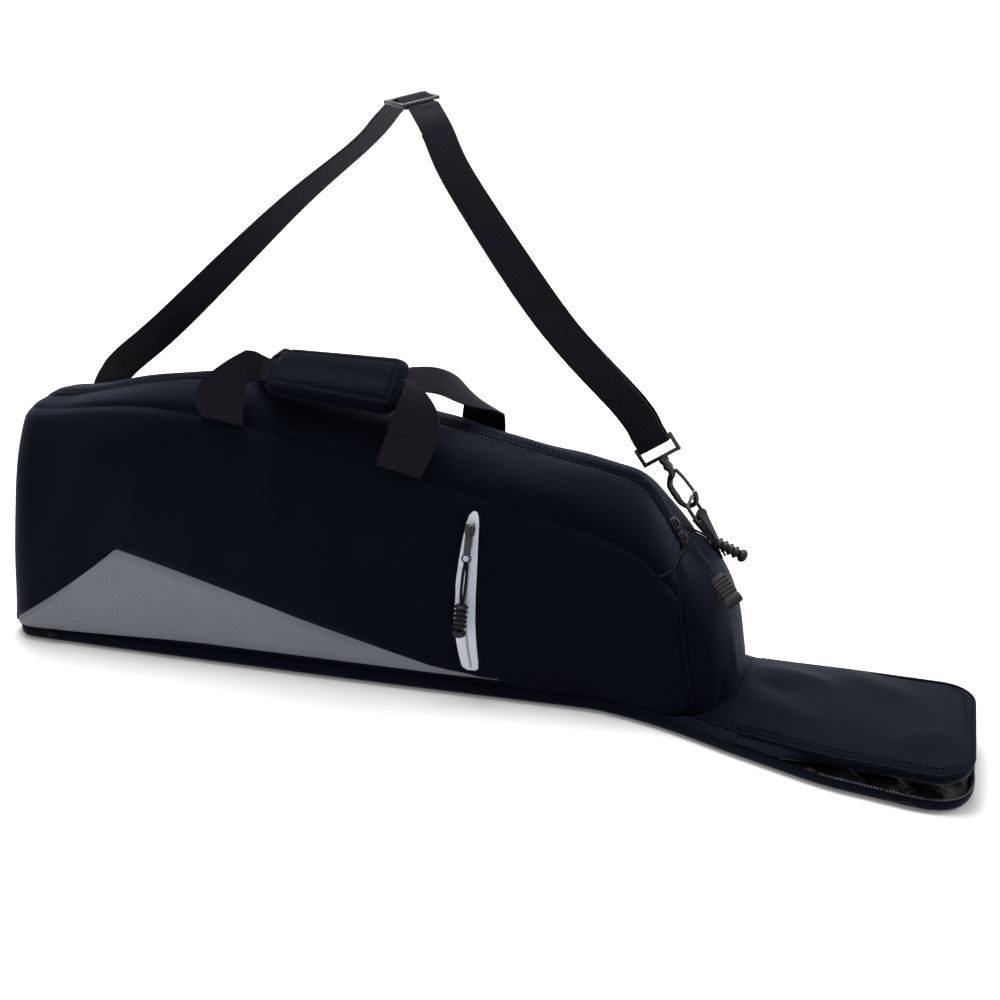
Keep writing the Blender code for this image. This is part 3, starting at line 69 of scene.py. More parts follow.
# The main bag's form
BODY_LEFT = -0.335
BODY_LENGTH = 0.672
BODY_HALF_WIDTH = 0.076
FOOT_Z = 0.012
CREST_LEFT_Z = 0.245
CREST_PEAK_S = 0.19
CREST_PEAK_Z = 0.2665
CREST_SLOPE = math.radians(10.5)
CREST_ARC_S = 0.585
CREST_ARC_Z = 0.205
CREST_ARC_RADIUS = 0.050
CREST_END_ANGLE = math.radians(56)
CREST_TAIL = 0.047
RIGHT_TAPER = 0.008
REAR_PUFF = 0.013
PUFF_OUT = 0.45
PUFF_UP = 0.9
LEFT_EDGE_RADIUS = 0.024
SECTION_POWER = 3.0
TAIL_LENGTH = 0.915
DRIFT_START_S = 0.555
DRIFT_END_S = 0.675
DRIFT_SLOPE = 0.33
SHELL_START_S = 0.002
LEFT_FLARE = 0.022            # the soft left end sags outwards at its foot
LEFT_DROOP = 0.0155           # and its top sinks above the seam
FLARE_RUN = 0.16
FOOT_FLARE_RISE = 0.035       # below this height over its foot the front leans out to the tray's lip
FOOT_FLARE_END_S = 0.640
SEAM_V = [(0.0, 0.440), (0.12, 0.418), (0.27, 0.390), (0.45, 0.360), (0.55, 0.342), (BODY_LENGTH, 0.318)]
WEDGE_V = [(0.0, 0.004), (0.107, 0.168), (0.29, 0.080), (0.42, 0.024), (0.44, 0.0195),
           (0.455, 0.0180), (0.468, 0.0140), (0.484, 0.0140), (0.50, 0.006)]
WEDGE_END_S = 0.50
LEFT_CAP_BULGE = 0.003
CAP_POWER = 2.6

# Cloth
PANEL = 0.003
SEAM_DIP = 0.0016
SEAM_REACH = 0.0045
SWELL = 0.0012

# Zips
MAIN_TAPE = 0.016
ZIP_SLIT = 0.0036             # the cloth's folded edges nearly meet over the zip
POCKET_ZIP_S = 0.457
POCKET_TAPE_LOW_Z = 0.0266
POCKET_TAPE_TOP_Z = 0.181
POCKET_TAPE_WIDEST_Z = 0.085
POCKET_TAPE_HALF = 0.0100
POCKET_BOW = 0.0063           # the tape bows this far to the left at its widest
POCKET_CHAIN_TOP_Z = 0.172
POCKET_CHAIN_LOW_Z = 0.034
TOOTH_PITCH = 0.0017
UPPER_SLIDER_RUN = 0.0245
LOWER_SLIDER_RUN = 0.0395
POCKET_SLIDER_Z = 0.165

# Sleeve
TRAY_WALL_Z = 0.0115
TRAY_ROUND = 0.006
TRAY_FULL = 0.005
ZIP_OPEN_S = 0.790            # the sleeve's zip is closed up to here at the front
ZIP_OPEN_BACK_S = 0.792       # and at the back up to the slider
FLAP_ROOT_S = 0.708
FLAP_ROOT_Z = 0.0175
FLAP_FRONT_Z = 0.0355
FLAP_BACK_Z = 0.044
FLAP_CROWN = 0.015
FLAP_RIM = 0.0065
FLAP_CORNER = 0.032
FLAP_END_S = TAIL_LENGTH - 0.004
TRAY_FRONT_T = [(0.0, 0.0765), (0.58, 0.0765), (0.632, 0.083), (0.70, 0.093), (0.78, 0.099), (0.86, 0.0955),
                (TAIL_LENGTH, 0.083)]
TRAY_BACK_T = [(0.0, 0.0765), (0.64, 0.0765), (0.71, 0.072), (0.80, 0.0745), (TAIL_LENGTH, 0.078)]
FLAP_FRONT_T = [(0.70, 0.078), (0.80, 0.084), (TAIL_LENGTH, 0.075)]
FLAP_BACK_T = [(0.70, 0.062), (0.80, 0.070), (TAIL_LENGTH, 0.075)]

# Carry handles
HANDLE_WEB = 0.044
MOUTH_WEB = 0.022
WEB = 0.0022
GRIP_START_S = 0.258
GRIP_END_S = 0.383
GRIP_T = -0.024
GRIP_Z = 0.2780
GRIP_ROLL = (0.310, 0.570)    # its tilt to the front at the left and the right end, radians
GRIP_RISE = (0.0065, 0.0010)  # its left and right end lie this far over GRIP_Z
GRIP_HALF_WIDTH = 0.031
GRIP_HALF_THICK = 0.0105
GRIP_BORDER = 0.0090
MOUTH_LEAD = 0.009
FRONT_ARM_S = (0.213, 0.386)
REAR_ARM_S = (0.235, 0.436)

# Shoulder strap
STRAP_WEB = 0.031
RIGHT_HOOK_TIP = (0.3065, 0.034, 0.1714)
LEFT_HOOK_TIP = (-0.308, 0.0905, 0.130)
RIGHT_LEG_LEAN = math.radians(-34.0)
RING_WIRE = 0.0018
RING_WIDTH = 0.030
RING_HEIGHT = 0.018
HOOK_LENGTH = 0.042
HOOK_WIRE = 0.0024
HOOK_HALF_WIDTH = 0.0085
GATE_WIRE = 0.0017
FRAME_WIDTH = 0.040
FRAME_HEIGHT = 0.012
FRAME_BAR = 0.0035
FRAME_NECK = 0.006
ADJUSTER_SPOT = (0.3905, -0.006, 0.5330)
ADJUSTER_ALONG = (-0.79, 0.61, 0.0)
ADJUSTER_ACROSS = (0.60, 0.78, 0.10)
ADJUSTER_BAR = 0.003
ADJUSTER_SLOT = 0.009
ADJUSTER_THICK = 0.003
GAP = 0.0003


def lookup(table, s):
    return np.interp(s, [row[0] for row in table], [row[1] for row in table])


def drift(s):
    """How far the middle line has moved to the front at a station."""
    run = DRIFT_END_S - DRIFT_START_S
    bent = np.clip(s - DRIFT_START_S, 0.0, run)
    return -DRIFT_SLOPE * (bent * bent / (2 * run) + np.maximum(s - DRIFT_END_S, 0.0))


def place(s, t, z):
    return Vector((BODY_LEFT + s, t + float(drift(s)), z))


def spot(s, y, z):
    return Vector((BODY_LEFT + s, y, z))


def crest(s):
    """Station and height of the crest above the foot station s."""
    arc_end = CREST_ARC_RADIUS * (CREST_END_ANGLE - CREST_SLOPE)
    if s <= CREST_PEAK_S:
        share = s / CREST_PEAK_S
        return s, CREST_LEFT_Z + (CREST_PEAK_Z - CREST_LEFT_Z) * math.sin(share * math.pi / 2)
    if s <= CREST_ARC_S:
        run = CREST_ARC_S - CREST_PEAK_S
        share = (s - CREST_PEAK_S) / run
        fall = CREST_PEAK_Z - CREST_ARC_Z
        steep = math.tan(CREST_SLOPE) * run
        return s, CREST_PEAK_Z - (3 * fall - steep) * share ** 2 + (2 * fall - steep) * share ** 3
    along = (s - CREST_ARC_S) / (BODY_LENGTH - CREST_ARC_S) * (arc_end + CREST_TAIL)
    angle = CREST_SLOPE + min(along, arc_end) / CREST_ARC_RADIUS
    past = max(along - arc_end, 0.0)
    x = CREST_ARC_S + CREST_ARC_RADIUS * (math.sin(angle) - math.sin(CREST_SLOPE)) + past * math.cos(angle)
    z = CREST_ARC_Z + CREST_ARC_RADIUS * (math.cos(angle) - math.cos(CREST_SLOPE)) - past * math.sin(angle)
    return x, z


def half_width(s):
    share = min(max((s - 0.5) / (BODY_LENGTH - 0.5), 0.0), 1.0)
    return BODY_HALF_WIDTH - RIGHT_TAPER * share * share


def left_inset(s):
    share = min(max(1 - s / LEFT_EDGE_RADIUS, 0.0), 1.0)
    return LEFT_EDGE_RADIUS * (1 - math.sqrt(1 - share * share))


TURN = np.linspace(0.0, math.pi, 361)


def section(s):
    """The loaf's outline over one station: arrays of arc share, t and z, and the arc's length."""
    wide = half_width(s) - left_inset(s)
    high = crest(s)[1] - left_inset(s) - FOOT_Z
    cosine = np.cos(TURN)
    t = -wide * np.sign(cosine) * np.abs(cosine) ** (2 / SECTION_POWER)
    z = FOOT_Z + high * np.abs(np.sin(TURN)) ** (2 / SECTION_POWER)
    share = np.concatenate([[0.0], np.cumsum(np.hypot(np.diff(t), np.diff(z)))])
    return share / share[-1], t, z, share[-1]


def rear_puff(s, v):
    along = min(max((s - 0.56) / 0.08, 0.0), 1.0)
    round_it = min(max((v - 0.535) / 0.36, 0.0), 1.0)
    return REAR_PUFF * along * along * (3 - 2 * along) * math.sin(math.pi * round_it) ** 2


def foot_flare(s):
    """How far the front's foot leans out to meet the tray's lip."""
    gap = float(lookup(TRAY_FRONT_T, s)) * 0.985 - half_width(s)
    past = min(max((s - FOOT_FLARE_END_S) / (BODY_LENGTH - FOOT_FLARE_END_S), 0.0), 1.0)
    return max(gap, 0.0) * (1 - past * past * (3 - 2 * past))


def skin(s, v):
    """A point of the main bag's outer surface."""
    share, t, z, _ = section(s)
    here_t = float(np.interp(v, share, t))
    here_z = float(np.interp(v, share, z))
    crest_s, crest_z = crest(s)
    lean = (crest_s - s) * (here_z - FOOT_Z) / (crest_z - FOOT_Z)
    swell = rear_puff(s, v)
    low = 1 - (here_z - FOOT_Z) / (crest_z - FOOT_Z)
    flare = LEFT_FLARE * max(low, 0.0) ** 1.1 * max(1 - s / FLARE_RUN, 0.0) ** 2
    droop = LEFT_DROOP * math.exp(-((s - 0.045) / 0.085) ** 2) * min(max(1 - low / 0.095, 0.0), 1.0)
    if v < 0.5:
        here_t -= foot_flare(s) * max(1 - (here_z - FOOT_Z) / FOOT_FLARE_RISE, 0.0) ** 2
    return place(s + lean + PUFF_OUT * swell - flare, here_t, here_z + PUFF_UP * swell - droop)


def skin_normal(s, v):
    step_s = 0.0015
    step_v = 0.004
    along = skin(min(s + step_s, BODY_LENGTH), v) - skin(max(s - step_s, 0.0006), v)
    round_it = skin(s, min(v + step_v, 1.0)) - skin(s, max(v - step_v, 0.0))
    return along.cross(round_it).normalized()


def arc_length(s):
    return section(s)[3]


def height_to_v(s, z):
    share, _, heights, _ = section(s)
    half = len(heights) // 2
    return float(np.interp(z, heights[:half], share[:half]))


def seam_v(s):
    return float(lookup(SEAM_V, s))


def rear_seam_v(s):
    return 1 - seam_v(s)


def wedge_v(s):
    return float(lookup(WEDGE_V, s))


def band_v(s):
    """Upper edge of the black band under the grey wedge."""
    share = min(max(s / 0.20, 0.0), 1.0)
    return 0.0105 * share * share * (3 - 2 * share)


def foot_v(s):
    return 0.0


def rear_foot_v(s):
    return 1.0


def wedge_low_v(s):
    return min(band_v(s), wedge_v(s) - 0.0008)


def front_low_v(s):
    return wedge_v(s) if s < WEDGE_END_S else 0.0


def lip_low_v(s):
    return 0.5 - ZIP_SLIT / 2 / arc_length(s)


def lip_high_v(s):
    return 0.5 + ZIP_SLIT / 2 / arc_length(s)


def tape_low_v(s):
    return 0.5 - MAIN_TAPE / 2 / arc_length(s)


def tape_high_v(s):
    return 0.5 + MAIN_TAPE / 2 / arc_length(s)


# Materials

def add_node(tree, kind, settings=None, inputs=None):
    made = tree.nodes.new(kind)
    for key, value in (settings or {}).items():
        setattr(made, key, value)
    for key, value in (inputs or {}).items():
        socket = made.inputs[key]
        if isinstance(value, bpy.types.NodeSocket):
            tree.links.new(value, socket)
        else:
            socket.default_value = value
    return made


def math_node(tree, operation, first, second):
    made = add_node(tree, "ShaderNodeMath", {"operation": operation})
    for socket, value in zip(made.inputs, (first, second)):
        if isinstance(value, bpy.types.NodeSocket):
            tree.links.new(value, socket)
        else:
            socket.default_value = value
    return made.outputs[0]


def cloth_map(tree, turn=0.0, flip=1.0):
    """The cloth's own coordinates in metres."""
    source = add_node(tree, "ShaderNodeUVMap", {"uv_map": "cloth"})
    mapping = add_node(tree, "ShaderNodeMapping", inputs={"Vector": source.outputs["UV"]})
    mapping.inputs["Rotation"].default_value = (0.0, 0.0, turn)
    mapping.inputs["Scale"].default_value = (1.0, flip, 1.0)
    return mapping.outputs["Vector"]


def wave(tree, vector, pitch, direction):
    made = add_node(tree, "ShaderNodeTexWave", {"wave_type": "BANDS", "bands_direction": direction},
                    {"Vector": vector, "Scale": 2 * math.pi / (20 * pitch)})
    return made.outputs["Fac"]


def noise(tree, vector, scale, detail=2.0):
    made = add_node(tree, "ShaderNodeTexNoise", inputs={"Vector": vector, "Scale": scale, "Detail": detail})
    return made.outputs["Fac"]


def ramp(tree, factor, low, high, low_colour, high_colour):
    made = add_node(tree, "ShaderNodeValToRGB", inputs={"Fac": factor})
    made.color_ramp.elements[0].position = low
    made.color_ramp.elements[0].color = (*low_colour, 1.0)
    made.color_ramp.elements[1].position = high
    made.color_ramp.elements[1].color = (*high_colour, 1.0)
    return made.outputs["Color"]


def start_material(name, roughness, metallic=0.0, specular=0.5, sheen=0.0, sheen_tint=(1.0, 1.0, 1.0)):
    made = bpy.data.materials.new(name)
    made.use_nodes = True
    tree = made.node_tree
    shader = tree.nodes["Principled BSDF"]
    shader.inputs["Roughness"].default_value = roughness
    shader.inputs["Metallic"].default_value = metallic
    shader.inputs["Specular IOR Level"].default_value = specular
    shader.inputs["Sheen Weight"].default_value = sheen
    shader.inputs["Sheen Roughness"].default_value = 0.45
    shader.inputs["Sheen Tint"].default_value = (*sheen_tint, 1.0)
    if sheen > 0:
        shader.inputs["Specular Tint"].default_value = (*sheen_tint, 1.0)
    return made, tree, shader


def add_bump(tree, shader, height, distance, strength=1.0):
    bump = add_node(tree, "ShaderNodeBump", inputs={"Height": height, "Distance": distance, "Strength": strength})
    tree.links.new(bump.outputs["Normal"], shader.inputs["Normal"])


def woven(name, dark, light, pitch, roughness, specular, sheen, sheen_tint, depth=0.00025):
    """A plain weave with a fine speckle and slow changes of shade."""
    made, tree, shader = start_material(name, roughness, 0.0, specular, sheen, sheen_tint)
    vector = cloth_map(tree)
    warp = wave(tree, vector, pitch, "X")
    weft = wave(tree, vector, pitch, "Y")
    weave = math_node(tree, "MULTIPLY", warp, weft)
    speckle = noise(tree, vector, 520.0, 3.0)
    cloud = noise(tree, vector, 14.0, 2.0)
    mixed = math_node(tree, "ADD", math_node(tree, "MULTIPLY", speckle, 0.7), math_node(tree, "MULTIPLY", cloud, 0.3))
    tree.links.new(ramp(tree, mixed, 0.30, 0.72, dark, light), shader.inputs["Base Color"])
    height = math_node(tree, "ADD", weave, math_node(tree, "MULTIPLY", speckle, 0.6))
    add_bump(tree, shader, height, depth, 0.7)
    return made


def webbing_material(name, dark, light):
    """Flat woven webbing: small crossing ribs with broken light flecks."""
    made, tree, shader = start_material(name, 0.62, 0.0, 0.05, 0.03, (0.75, 0.75, 0.95))
    first = wave(tree, cloth_map(tree), 0.0013, "DIAGONAL")
    second = wave(tree, cloth_map(tree, flip=-1.0), 0.0013, "DIAGONAL")
    lattice = math_node(tree, "MULTIPLY", first, second)
    grain = noise(tree, cloth_map(tree), 900.0, 3.0)
    fleck = math_node(tree, "MULTIPLY", math_node(tree, "ADD", lattice, 0.25), grain)
    tree.links.new(ramp(tree, fleck, 0.08, 0.70, dark, light), shader.inputs["Base Color"])
    add_bump(tree, shader, lattice, 0.0004, 0.8)
    return made


def ribbed_tape(name, dark, light, roughness, specular):
    """Zip tape: fine ribs across it."""
    made, tree, shader = start_material(name, roughness, 0.0, specular, 0.1)
    vector = cloth_map(tree)
    ribs = wave(tree, vector, 0.0011, "Y")
    speckle = noise(tree, vector, 600.0, 2.0)
    mixed = math_node(tree, "ADD", math_node(tree, "MULTIPLY", ribs, 0.5), math_node(tree, "MULTIPLY", speckle, 0.5))
    tree.links.new(ramp(tree, mixed, 0.2, 0.8, dark, light), shader.inputs["Base Color"])
    add_bump(tree, shader, ribs, 0.0003, 0.7)
    return made


def moulded(name, dark, light, roughness, specular, metallic=0.0, depth=0.00012):
    """Moulded or cast pieces with a faint grain and worn shine."""
    made, tree, shader = start_material(name, roughness, metallic, specular)
    source = add_node(tree, "ShaderNodeTexCoord")
    grain = noise(tree, source.outputs["Object"], 900.0, 3.0)
    wear = noise(tree, source.outputs["Object"], 90.0, 3.0)
    tree.links.new(ramp(tree, wear, 0.35, 0.75, dark, light), shader.inputs["Base Color"])
    add_bump(tree, shader, grain, depth, 0.5)
    return made


NAVY_TINT = (0.44, 0.58, 1.0)
LOOKS = {}


def make_looks():
    LOOKS["fabric"] = woven("black_cloth", (0.0005, 0.0006, 0.0012), (0.0017, 0.0020, 0.0038), 0.0011, 0.56, 0.040,
                            0.082, NAVY_TINT)
    LOOKS["pad"] = woven("pad_cloth", (0.0006, 0.0006, 0.0014), (0.0018, 0.0019, 0.0036), 0.0009, 0.52, 0.030, 0.03,
                         NAVY_TINT)
    LOOKS["grey"] = woven("grey_cloth", (0.154, 0.164, 0.187), (0.211, 0.221, 0.249), 0.0011, 0.80, 0.10, 0.02,
                          (0.9, 0.95, 1.0))
    LOOKS["lining"] = woven("lining_cloth", (0.0012, 0.0012, 0.0020), (0.0040, 0.0040, 0.0058), 0.0016, 0.28, 0.20, 0.0,
                            (1, 1, 1), 0.0005)
    LOOKS["webbing"] = webbing_material("strap_webbing", (0.0018, 0.0018, 0.0030), (0.0210, 0.0205, 0.0300))
    LOOKS["tape"] = ribbed_tape("silver_tape", (0.52, 0.55, 0.64), (0.80, 0.83, 0.93), 0.55, 0.3)
    LOOKS["dark_tape"] = ribbed_tape("dark_tape", (0.0015, 0.0018, 0.0030), (0.0050, 0.0058, 0.0090), 0.8, 0.04)
    LOOKS["coil"] = moulded("zip_teeth", (0.003, 0.003, 0.005), (0.012, 0.012, 0.016), 0.35, 0.3)
    # Painted glints: a lighter copy of the zip teeth colour, for the upward-facing teeth on the sleeve's lip
    LOOKS["coil_painted_glint"] = moulded("zip_teeth_painted_glint", (0.05, 0.05, 0.06), (0.22, 0.22, 0.26), 0.3, 0.4)
    LOOKS["plastic"] = moulded("black_plastic", (0.006, 0.006, 0.010), (0.020, 0.020, 0.028), 0.30, 0.45)
    LOOKS["rubber"] = moulded("black_rubber", (0.0025, 0.0025, 0.0045), (0.0080, 0.0080, 0.0120), 0.48, 0.22)
    LOOKS["metal"] = moulded("black_metal", (0.0045, 0.0045, 0.0075), (0.0150, 0.0150, 0.0210), 0.24, 0.40)
    LOOKS["thread"] = moulded("black_thread", (0.0012, 0.0014, 0.0024), (0.0045, 0.0050, 0.0078), 0.7, 0.06)


# Mesh helpers

def finish_piece(name, verts, faces, look, body, nodes=(), uvs=None, sharp=40.0):
    """An object from points and faces, with its cloth coordinates, material, body and the solids it stands for."""
    mesh = bpy.data.meshes.new(name)
    mesh.from_pydata([tuple(map(float, p)) for p in verts], [], [tuple(map(int, f)) for f in faces])
    work = bmesh.new()
    work.from_mesh(mesh)
    bmesh.ops.recalc_face_normals(work, faces=work.faces)
    work.to_mesh(mesh)
    work.free()
    layer = mesh.uv_layers.new(name="cloth")
    if uvs is None:
        uvs = [(p[0] + p[1], p[2]) for p in verts]
    flat = np.array([uvs[loop.vertex_index] for loop in mesh.loops], dtype=float)
    layer.data.foreach_set("uv", flat.ravel())
    mesh.shade_smooth()
    mesh.set_sharp_from_angle(angle=math.radians(sharp))
    made = bpy.data.objects.new(name, mesh)
    bpy.context.collection.objects.link(made)
    mesh.materials.append(LOOKS[look])
    if body:
        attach(made, body)
    if nodes:
        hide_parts(*nodes)
    return made


def grid_faces(rows, cols, base=0, wrap=False):
    faces = []
    for i in range(rows - 1):
        for j in range(cols if wrap else cols - 1):
            k = (j + 1) % cols
            faces.append((base + i * cols + j, base + i * cols + k, base + (i + 1) * cols + k, base + (i + 1) * cols + j))
    return faces


def grid_normals(points):
    """Unit normals of a grid of points."""
    down = np.gradient(points, axis=0)
    across = np.gradient(points, axis=1)
    normals = np.cross(down, across)
    size = np.linalg.norm(normals, axis=2, keepdims=True)
    return normals / np.maximum(size, 1e-12)


def slab(name, outer, inner, uv, look, body, nodes=()):
    """A closed sheet between two grids of points."""
    rows, cols = outer.shape[:2]
    back = rows * cols
    verts = np.concatenate([outer.reshape(-1, 3), inner.reshape(-1, 3)])
    uvs = np.concatenate([uv.reshape(-1, 2), uv.reshape(-1, 2)])
    faces = grid_faces(rows, cols) + [f[::-1] for f in grid_faces(rows, cols, back)]
    for i in range(rows - 1):
        for j in (0, cols - 1):
            a, b = i * cols + j, (i + 1) * cols + j
            faces.append((a, b, back + b, back + a) if j == 0 else (b, a, back + a, back + b))
    for j in range(cols - 1):
        for i in (0, rows - 1):
            a, b = i * cols + j, i * cols + j + 1
            faces.append((b, a, back + a, back + b) if i == 0 else (a, b, back + b, back + a))
    return finish_piece(name, verts, faces, look, body, nodes, uvs)


def loft(name, rings, look, body, nodes=(), sharp=40.0, wrap_ends=False):
    """A closed body through rings of points, capped at its ends or joined into a loop."""
    count = len(rings[0])
    rows = len(rings)
    verts = [p for ring in rings for p in ring]
    faces = grid_faces(rows, count, wrap=True)
    tail = (rows - 1) * count
    if wrap_ends:
        for i in range(count):
            j = (i + 1) % count
            faces.append((tail + i, tail + j, j, i))
    else:
        faces.append(tuple(range(count))[::-1])
        faces.append(tuple(tail + i for i in range(count)))
    return finish_piece(name, verts, faces, look, body, nodes, sharp=sharp)


def tube_rings(points, radii, sides, closed=False):
    points = [Vector(p) for p in points]
    count = len(points)
    if not hasattr(radii, "__len__"):
        radii = [radii] * count
    rings = []
    normal = None
    for k in range(count):
        before = points[k - 1] if (closed or k > 0) else points[k]
        after = points[(k + 1) % count] if (closed or k < count - 1) else points[k]
        along = (after - before).normalized()
        if normal is None:
            helper = Vector((0, 1, 0)) if abs(along.y) < 0.9 else Vector((1, 0, 0))
            normal = along.cross(helper).normalized()
        normal = (normal - along * normal.dot(along)).normalized()
        other = along.cross(normal)
        rings.append([points[k] + (normal * math.cos(a) + other * math.sin(a)) * radii[k]
                      for a in [2 * math.pi * i / sides for i in range(sides)]])
    return rings


def smooth_path(knots, steps):
    """Points on a smooth curve through the knots."""
    knots = [Vector(k) for k in knots]
    ends = [2 * knots[0] - knots[1]] + knots + [2 * knots[-1] - knots[-2]]
    points = []
    for k in range(1, len(ends) - 2):
        a, b, c, d = ends[k - 1:k + 3]
        for i in range(steps):
            u = i / steps
            points.append(0.5 * (2 * b + (c - a) * u + (2 * a - 5 * b + 4 * c - d) * u * u
                                 + (3 * b - a - 3 * c + d) * u ** 3))
    points.append(knots[-1])
    return points


def twist_sides(points, start, end, done=1.0, begun=0.0):
    """Width directions along a path, turned from the start's to the end's between two shares of its length."""
    count = len(points)
    alongs = [(points[min(k + 1, count - 1)] - points[max(k - 1, 0)]).normalized() for k in range(count)]
    side = Vector(start)
    carried = []
    for k in range(count):
        if k:
            side = alongs[k - 1].rotation_difference(alongs[k]) @ side
        side = (side - alongs[k] * side.dot(alongs[k])).normalized()
        carried.append(side.copy())
    last = alongs[-1]
    wanted = Vector(end)
    wanted = (wanted - last * wanted.dot(last)).normalized()
    turn = math.atan2(carried[-1].cross(wanted).dot(last), carried[-1].dot(wanted))
    if abs(turn) > math.pi / 2:
        turn -= math.copysign(math.pi, turn)
    gone = np.cumsum([0.0] + [(points[k + 1] - points[k]).length for k in range(count - 1)])
    made = []
    for k in range(count):
        share = min(max((gone[k] / gone[-1] - begun) / (done - begun), 0.0), 1.0)
        made.append(Matrix.Rotation(turn * share * share * (3 - 2 * share), 3, alongs[k]) @ carried[k])
    return made


RIBBON_COLUMNS = 9


def ribbon(name, points, across, widths, look, body, nodes=(), thick=WEB, cup=0.0):
    """A flat band along a path, a little thinner at its edges; cup bows it across its width."""
    count = len(points)
    shares = np.linspace(-0.5, 0.5, RIBBON_COLUMNS)
    edge = thick / 2 * np.sqrt(np.clip(1 - (np.abs(shares) * 2) ** 8 * 0.55, 0, 1))
    outer = np.zeros((count, RIBBON_COLUMNS, 3))
    inner = np.zeros((count, RIBBON_COLUMNS, 3))
    uv = np.zeros((count, RIBBON_COLUMNS, 2))
    gone = 0.0
    for k in range(count):
        before = Vector(points[max(k - 1, 0)])
        after = Vector(points[min(k + 1, count - 1)])
        along = (after - before).normalized()
        side = Vector(across[k])
        side = (side - along * side.dot(along)).normalized()
        out = side.cross(along).normalized()
        if k:
            gone += (Vector(points[k]) - Vector(points[k - 1])).length
        for j, share in enumerate(shares):
            base = Vector(points[k]) + side * widths[k] * share + out * cup * (0.25 - share * share)
            outer[k, j] = base + out * edge[j]
            inner[k, j] = base - out * edge[j]
            uv[k, j] = (share * widths[k], gone)
    return slab(name, outer, inner, uv, look, body, nodes)


def stitch_row(name, points, normals, body, stitch=0.0030, space=0.0016, thick=0.00055):
    """A row of raised stitches along a line of points, as one object."""
    points = [Vector(p) for p in points]
    gone = np.cumsum([0.0] + [(points[k + 1] - points[k]).length for k in range(len(points) - 1)])
    coords = np.array([tuple(p) for p in points])
    ups = np.array([tuple(n) for n in normals])

    def at(distance):
        return (Vector([np.interp(distance, gone, coords[:, a]) for a in range(3)]),
                Vector([np.interp(distance, gone, ups[:, a]) for a in range(3)]).normalized())

    sides = 6
    verts = []
    faces = []
    start = space
    while start + stitch < gone[-1]:
        low, up = at(start)
        high, _ = at(start + stitch)
        along = (high - low).normalized()
        across = along.cross(up).normalized()
        base = len(verts)
        for share, size in ((0.0, 0.45), (0.2, 1.0), (0.8, 1.0), (1.0, 0.45)):
            middle = low.lerp(high, share)
            for i in range(sides):
                angle = 2 * math.pi * i / sides
                verts.append(middle + (across * math.cos(angle) + up * math.sin(angle)) * thick * size)
        faces += grid_faces(4, sides, base, wrap=True)
        faces.append(tuple(base + i for i in range(sides))[::-1])
        faces.append(tuple(base + 3 * sides + i for i in range(sides)))
        start += stitch + space
    return finish_piece(name, verts, faces, "thread", body, sharp=60.0)


def teeth_row(name, points, normals, look, body, nodes=(), size=(0.0011, 0.0026, 0.0011), pitch=TOOTH_PITCH,
              offset=0.0, stagger=True):
    """Zip teeth along a line: small rounded blocks, left and right in turn where they mesh."""
    points = [Vector(p) for p in points]
    gone = np.cumsum([0.0] + [(points[k + 1] - points[k]).length for k in range(len(points) - 1)])
    coords = np.array([tuple(p) for p in points])
    ups = np.array([tuple(n) for n in normals])
    verts = []
    faces = []
    long, wide, high = size
    count = int(gone[-1] / pitch)
    for k in range(count):
        distance = (k + 0.5) * pitch
        here = Vector([np.interp(distance, gone, coords[:, a]) for a in range(3)])
        ahead = Vector([np.interp(distance + 0.0005, gone, coords[:, a]) for a in range(3)])
        up = Vector([np.interp(distance, gone, ups[:, a]) for a in range(3)]).normalized()
        along = (ahead - here).normalized()
        across = along.cross(up).normalized()
        middle = here + across * (offset + ((wide * 0.36) * (1 if k % 2 else -1) if stagger else 0.0))
        base = len(verts)
        for lift, share in ((-high * 0.2, 1.0), (high * 0.55, 1.0), (high, 0.62)):
            for u, w in ((-1, -1), (1, -1), (1, 1), (-1, 1)):
                verts.append(middle + along * u * long / 2 * share + across * w * wide / 2 * share + up * lift)
        faces += grid_faces(3, 4, base, wrap=True)
        faces.append((base + 3, base + 2, base + 1, base))
        faces.append((base + 8, base + 9, base + 10, base + 11))
    return finish_piece(name, verts, faces, look, body, nodes, sharp=50.0)


# Cloth relief

def ridge(points, start, end, width, height):
    """How far a soft fold along a straight line lifts each point."""
    start = np.array(tuple(start))
    end = np.array(tuple(end))
    axis = end - start
    length = np.linalg.norm(axis)
    share = np.clip(((points - start) @ axis) / length ** 2, 0.0, 1.0)
    nearest = start + share[..., None] * axis
    distance = np.linalg.norm(points - nearest, axis=-1)
    fade = np.sin(np.pi * np.clip(share, 0.04, 0.96))
    return height * fade * np.exp(-(distance / width) ** 2)


def ripple(points, size=0.0007):
    """Slow unevenness of stuffed cloth."""
    x, y, z = points[..., 0], points[..., 1], points[..., 2]
    return size * (np.sin(41 * x + 17 * z + 1.3) + 0.7 * np.sin(67 * z - 29 * x + 23 * y)
                   + 0.5 * np.sin(97 * x + 61 * y - 40 * z + 0.7))


def seam_fall(distance):
    """The cloth dips where it is sewn."""
    return -SEAM_DIP * np.exp(-(np.maximum(distance, 0.0) / SEAM_REACH) ** 2)


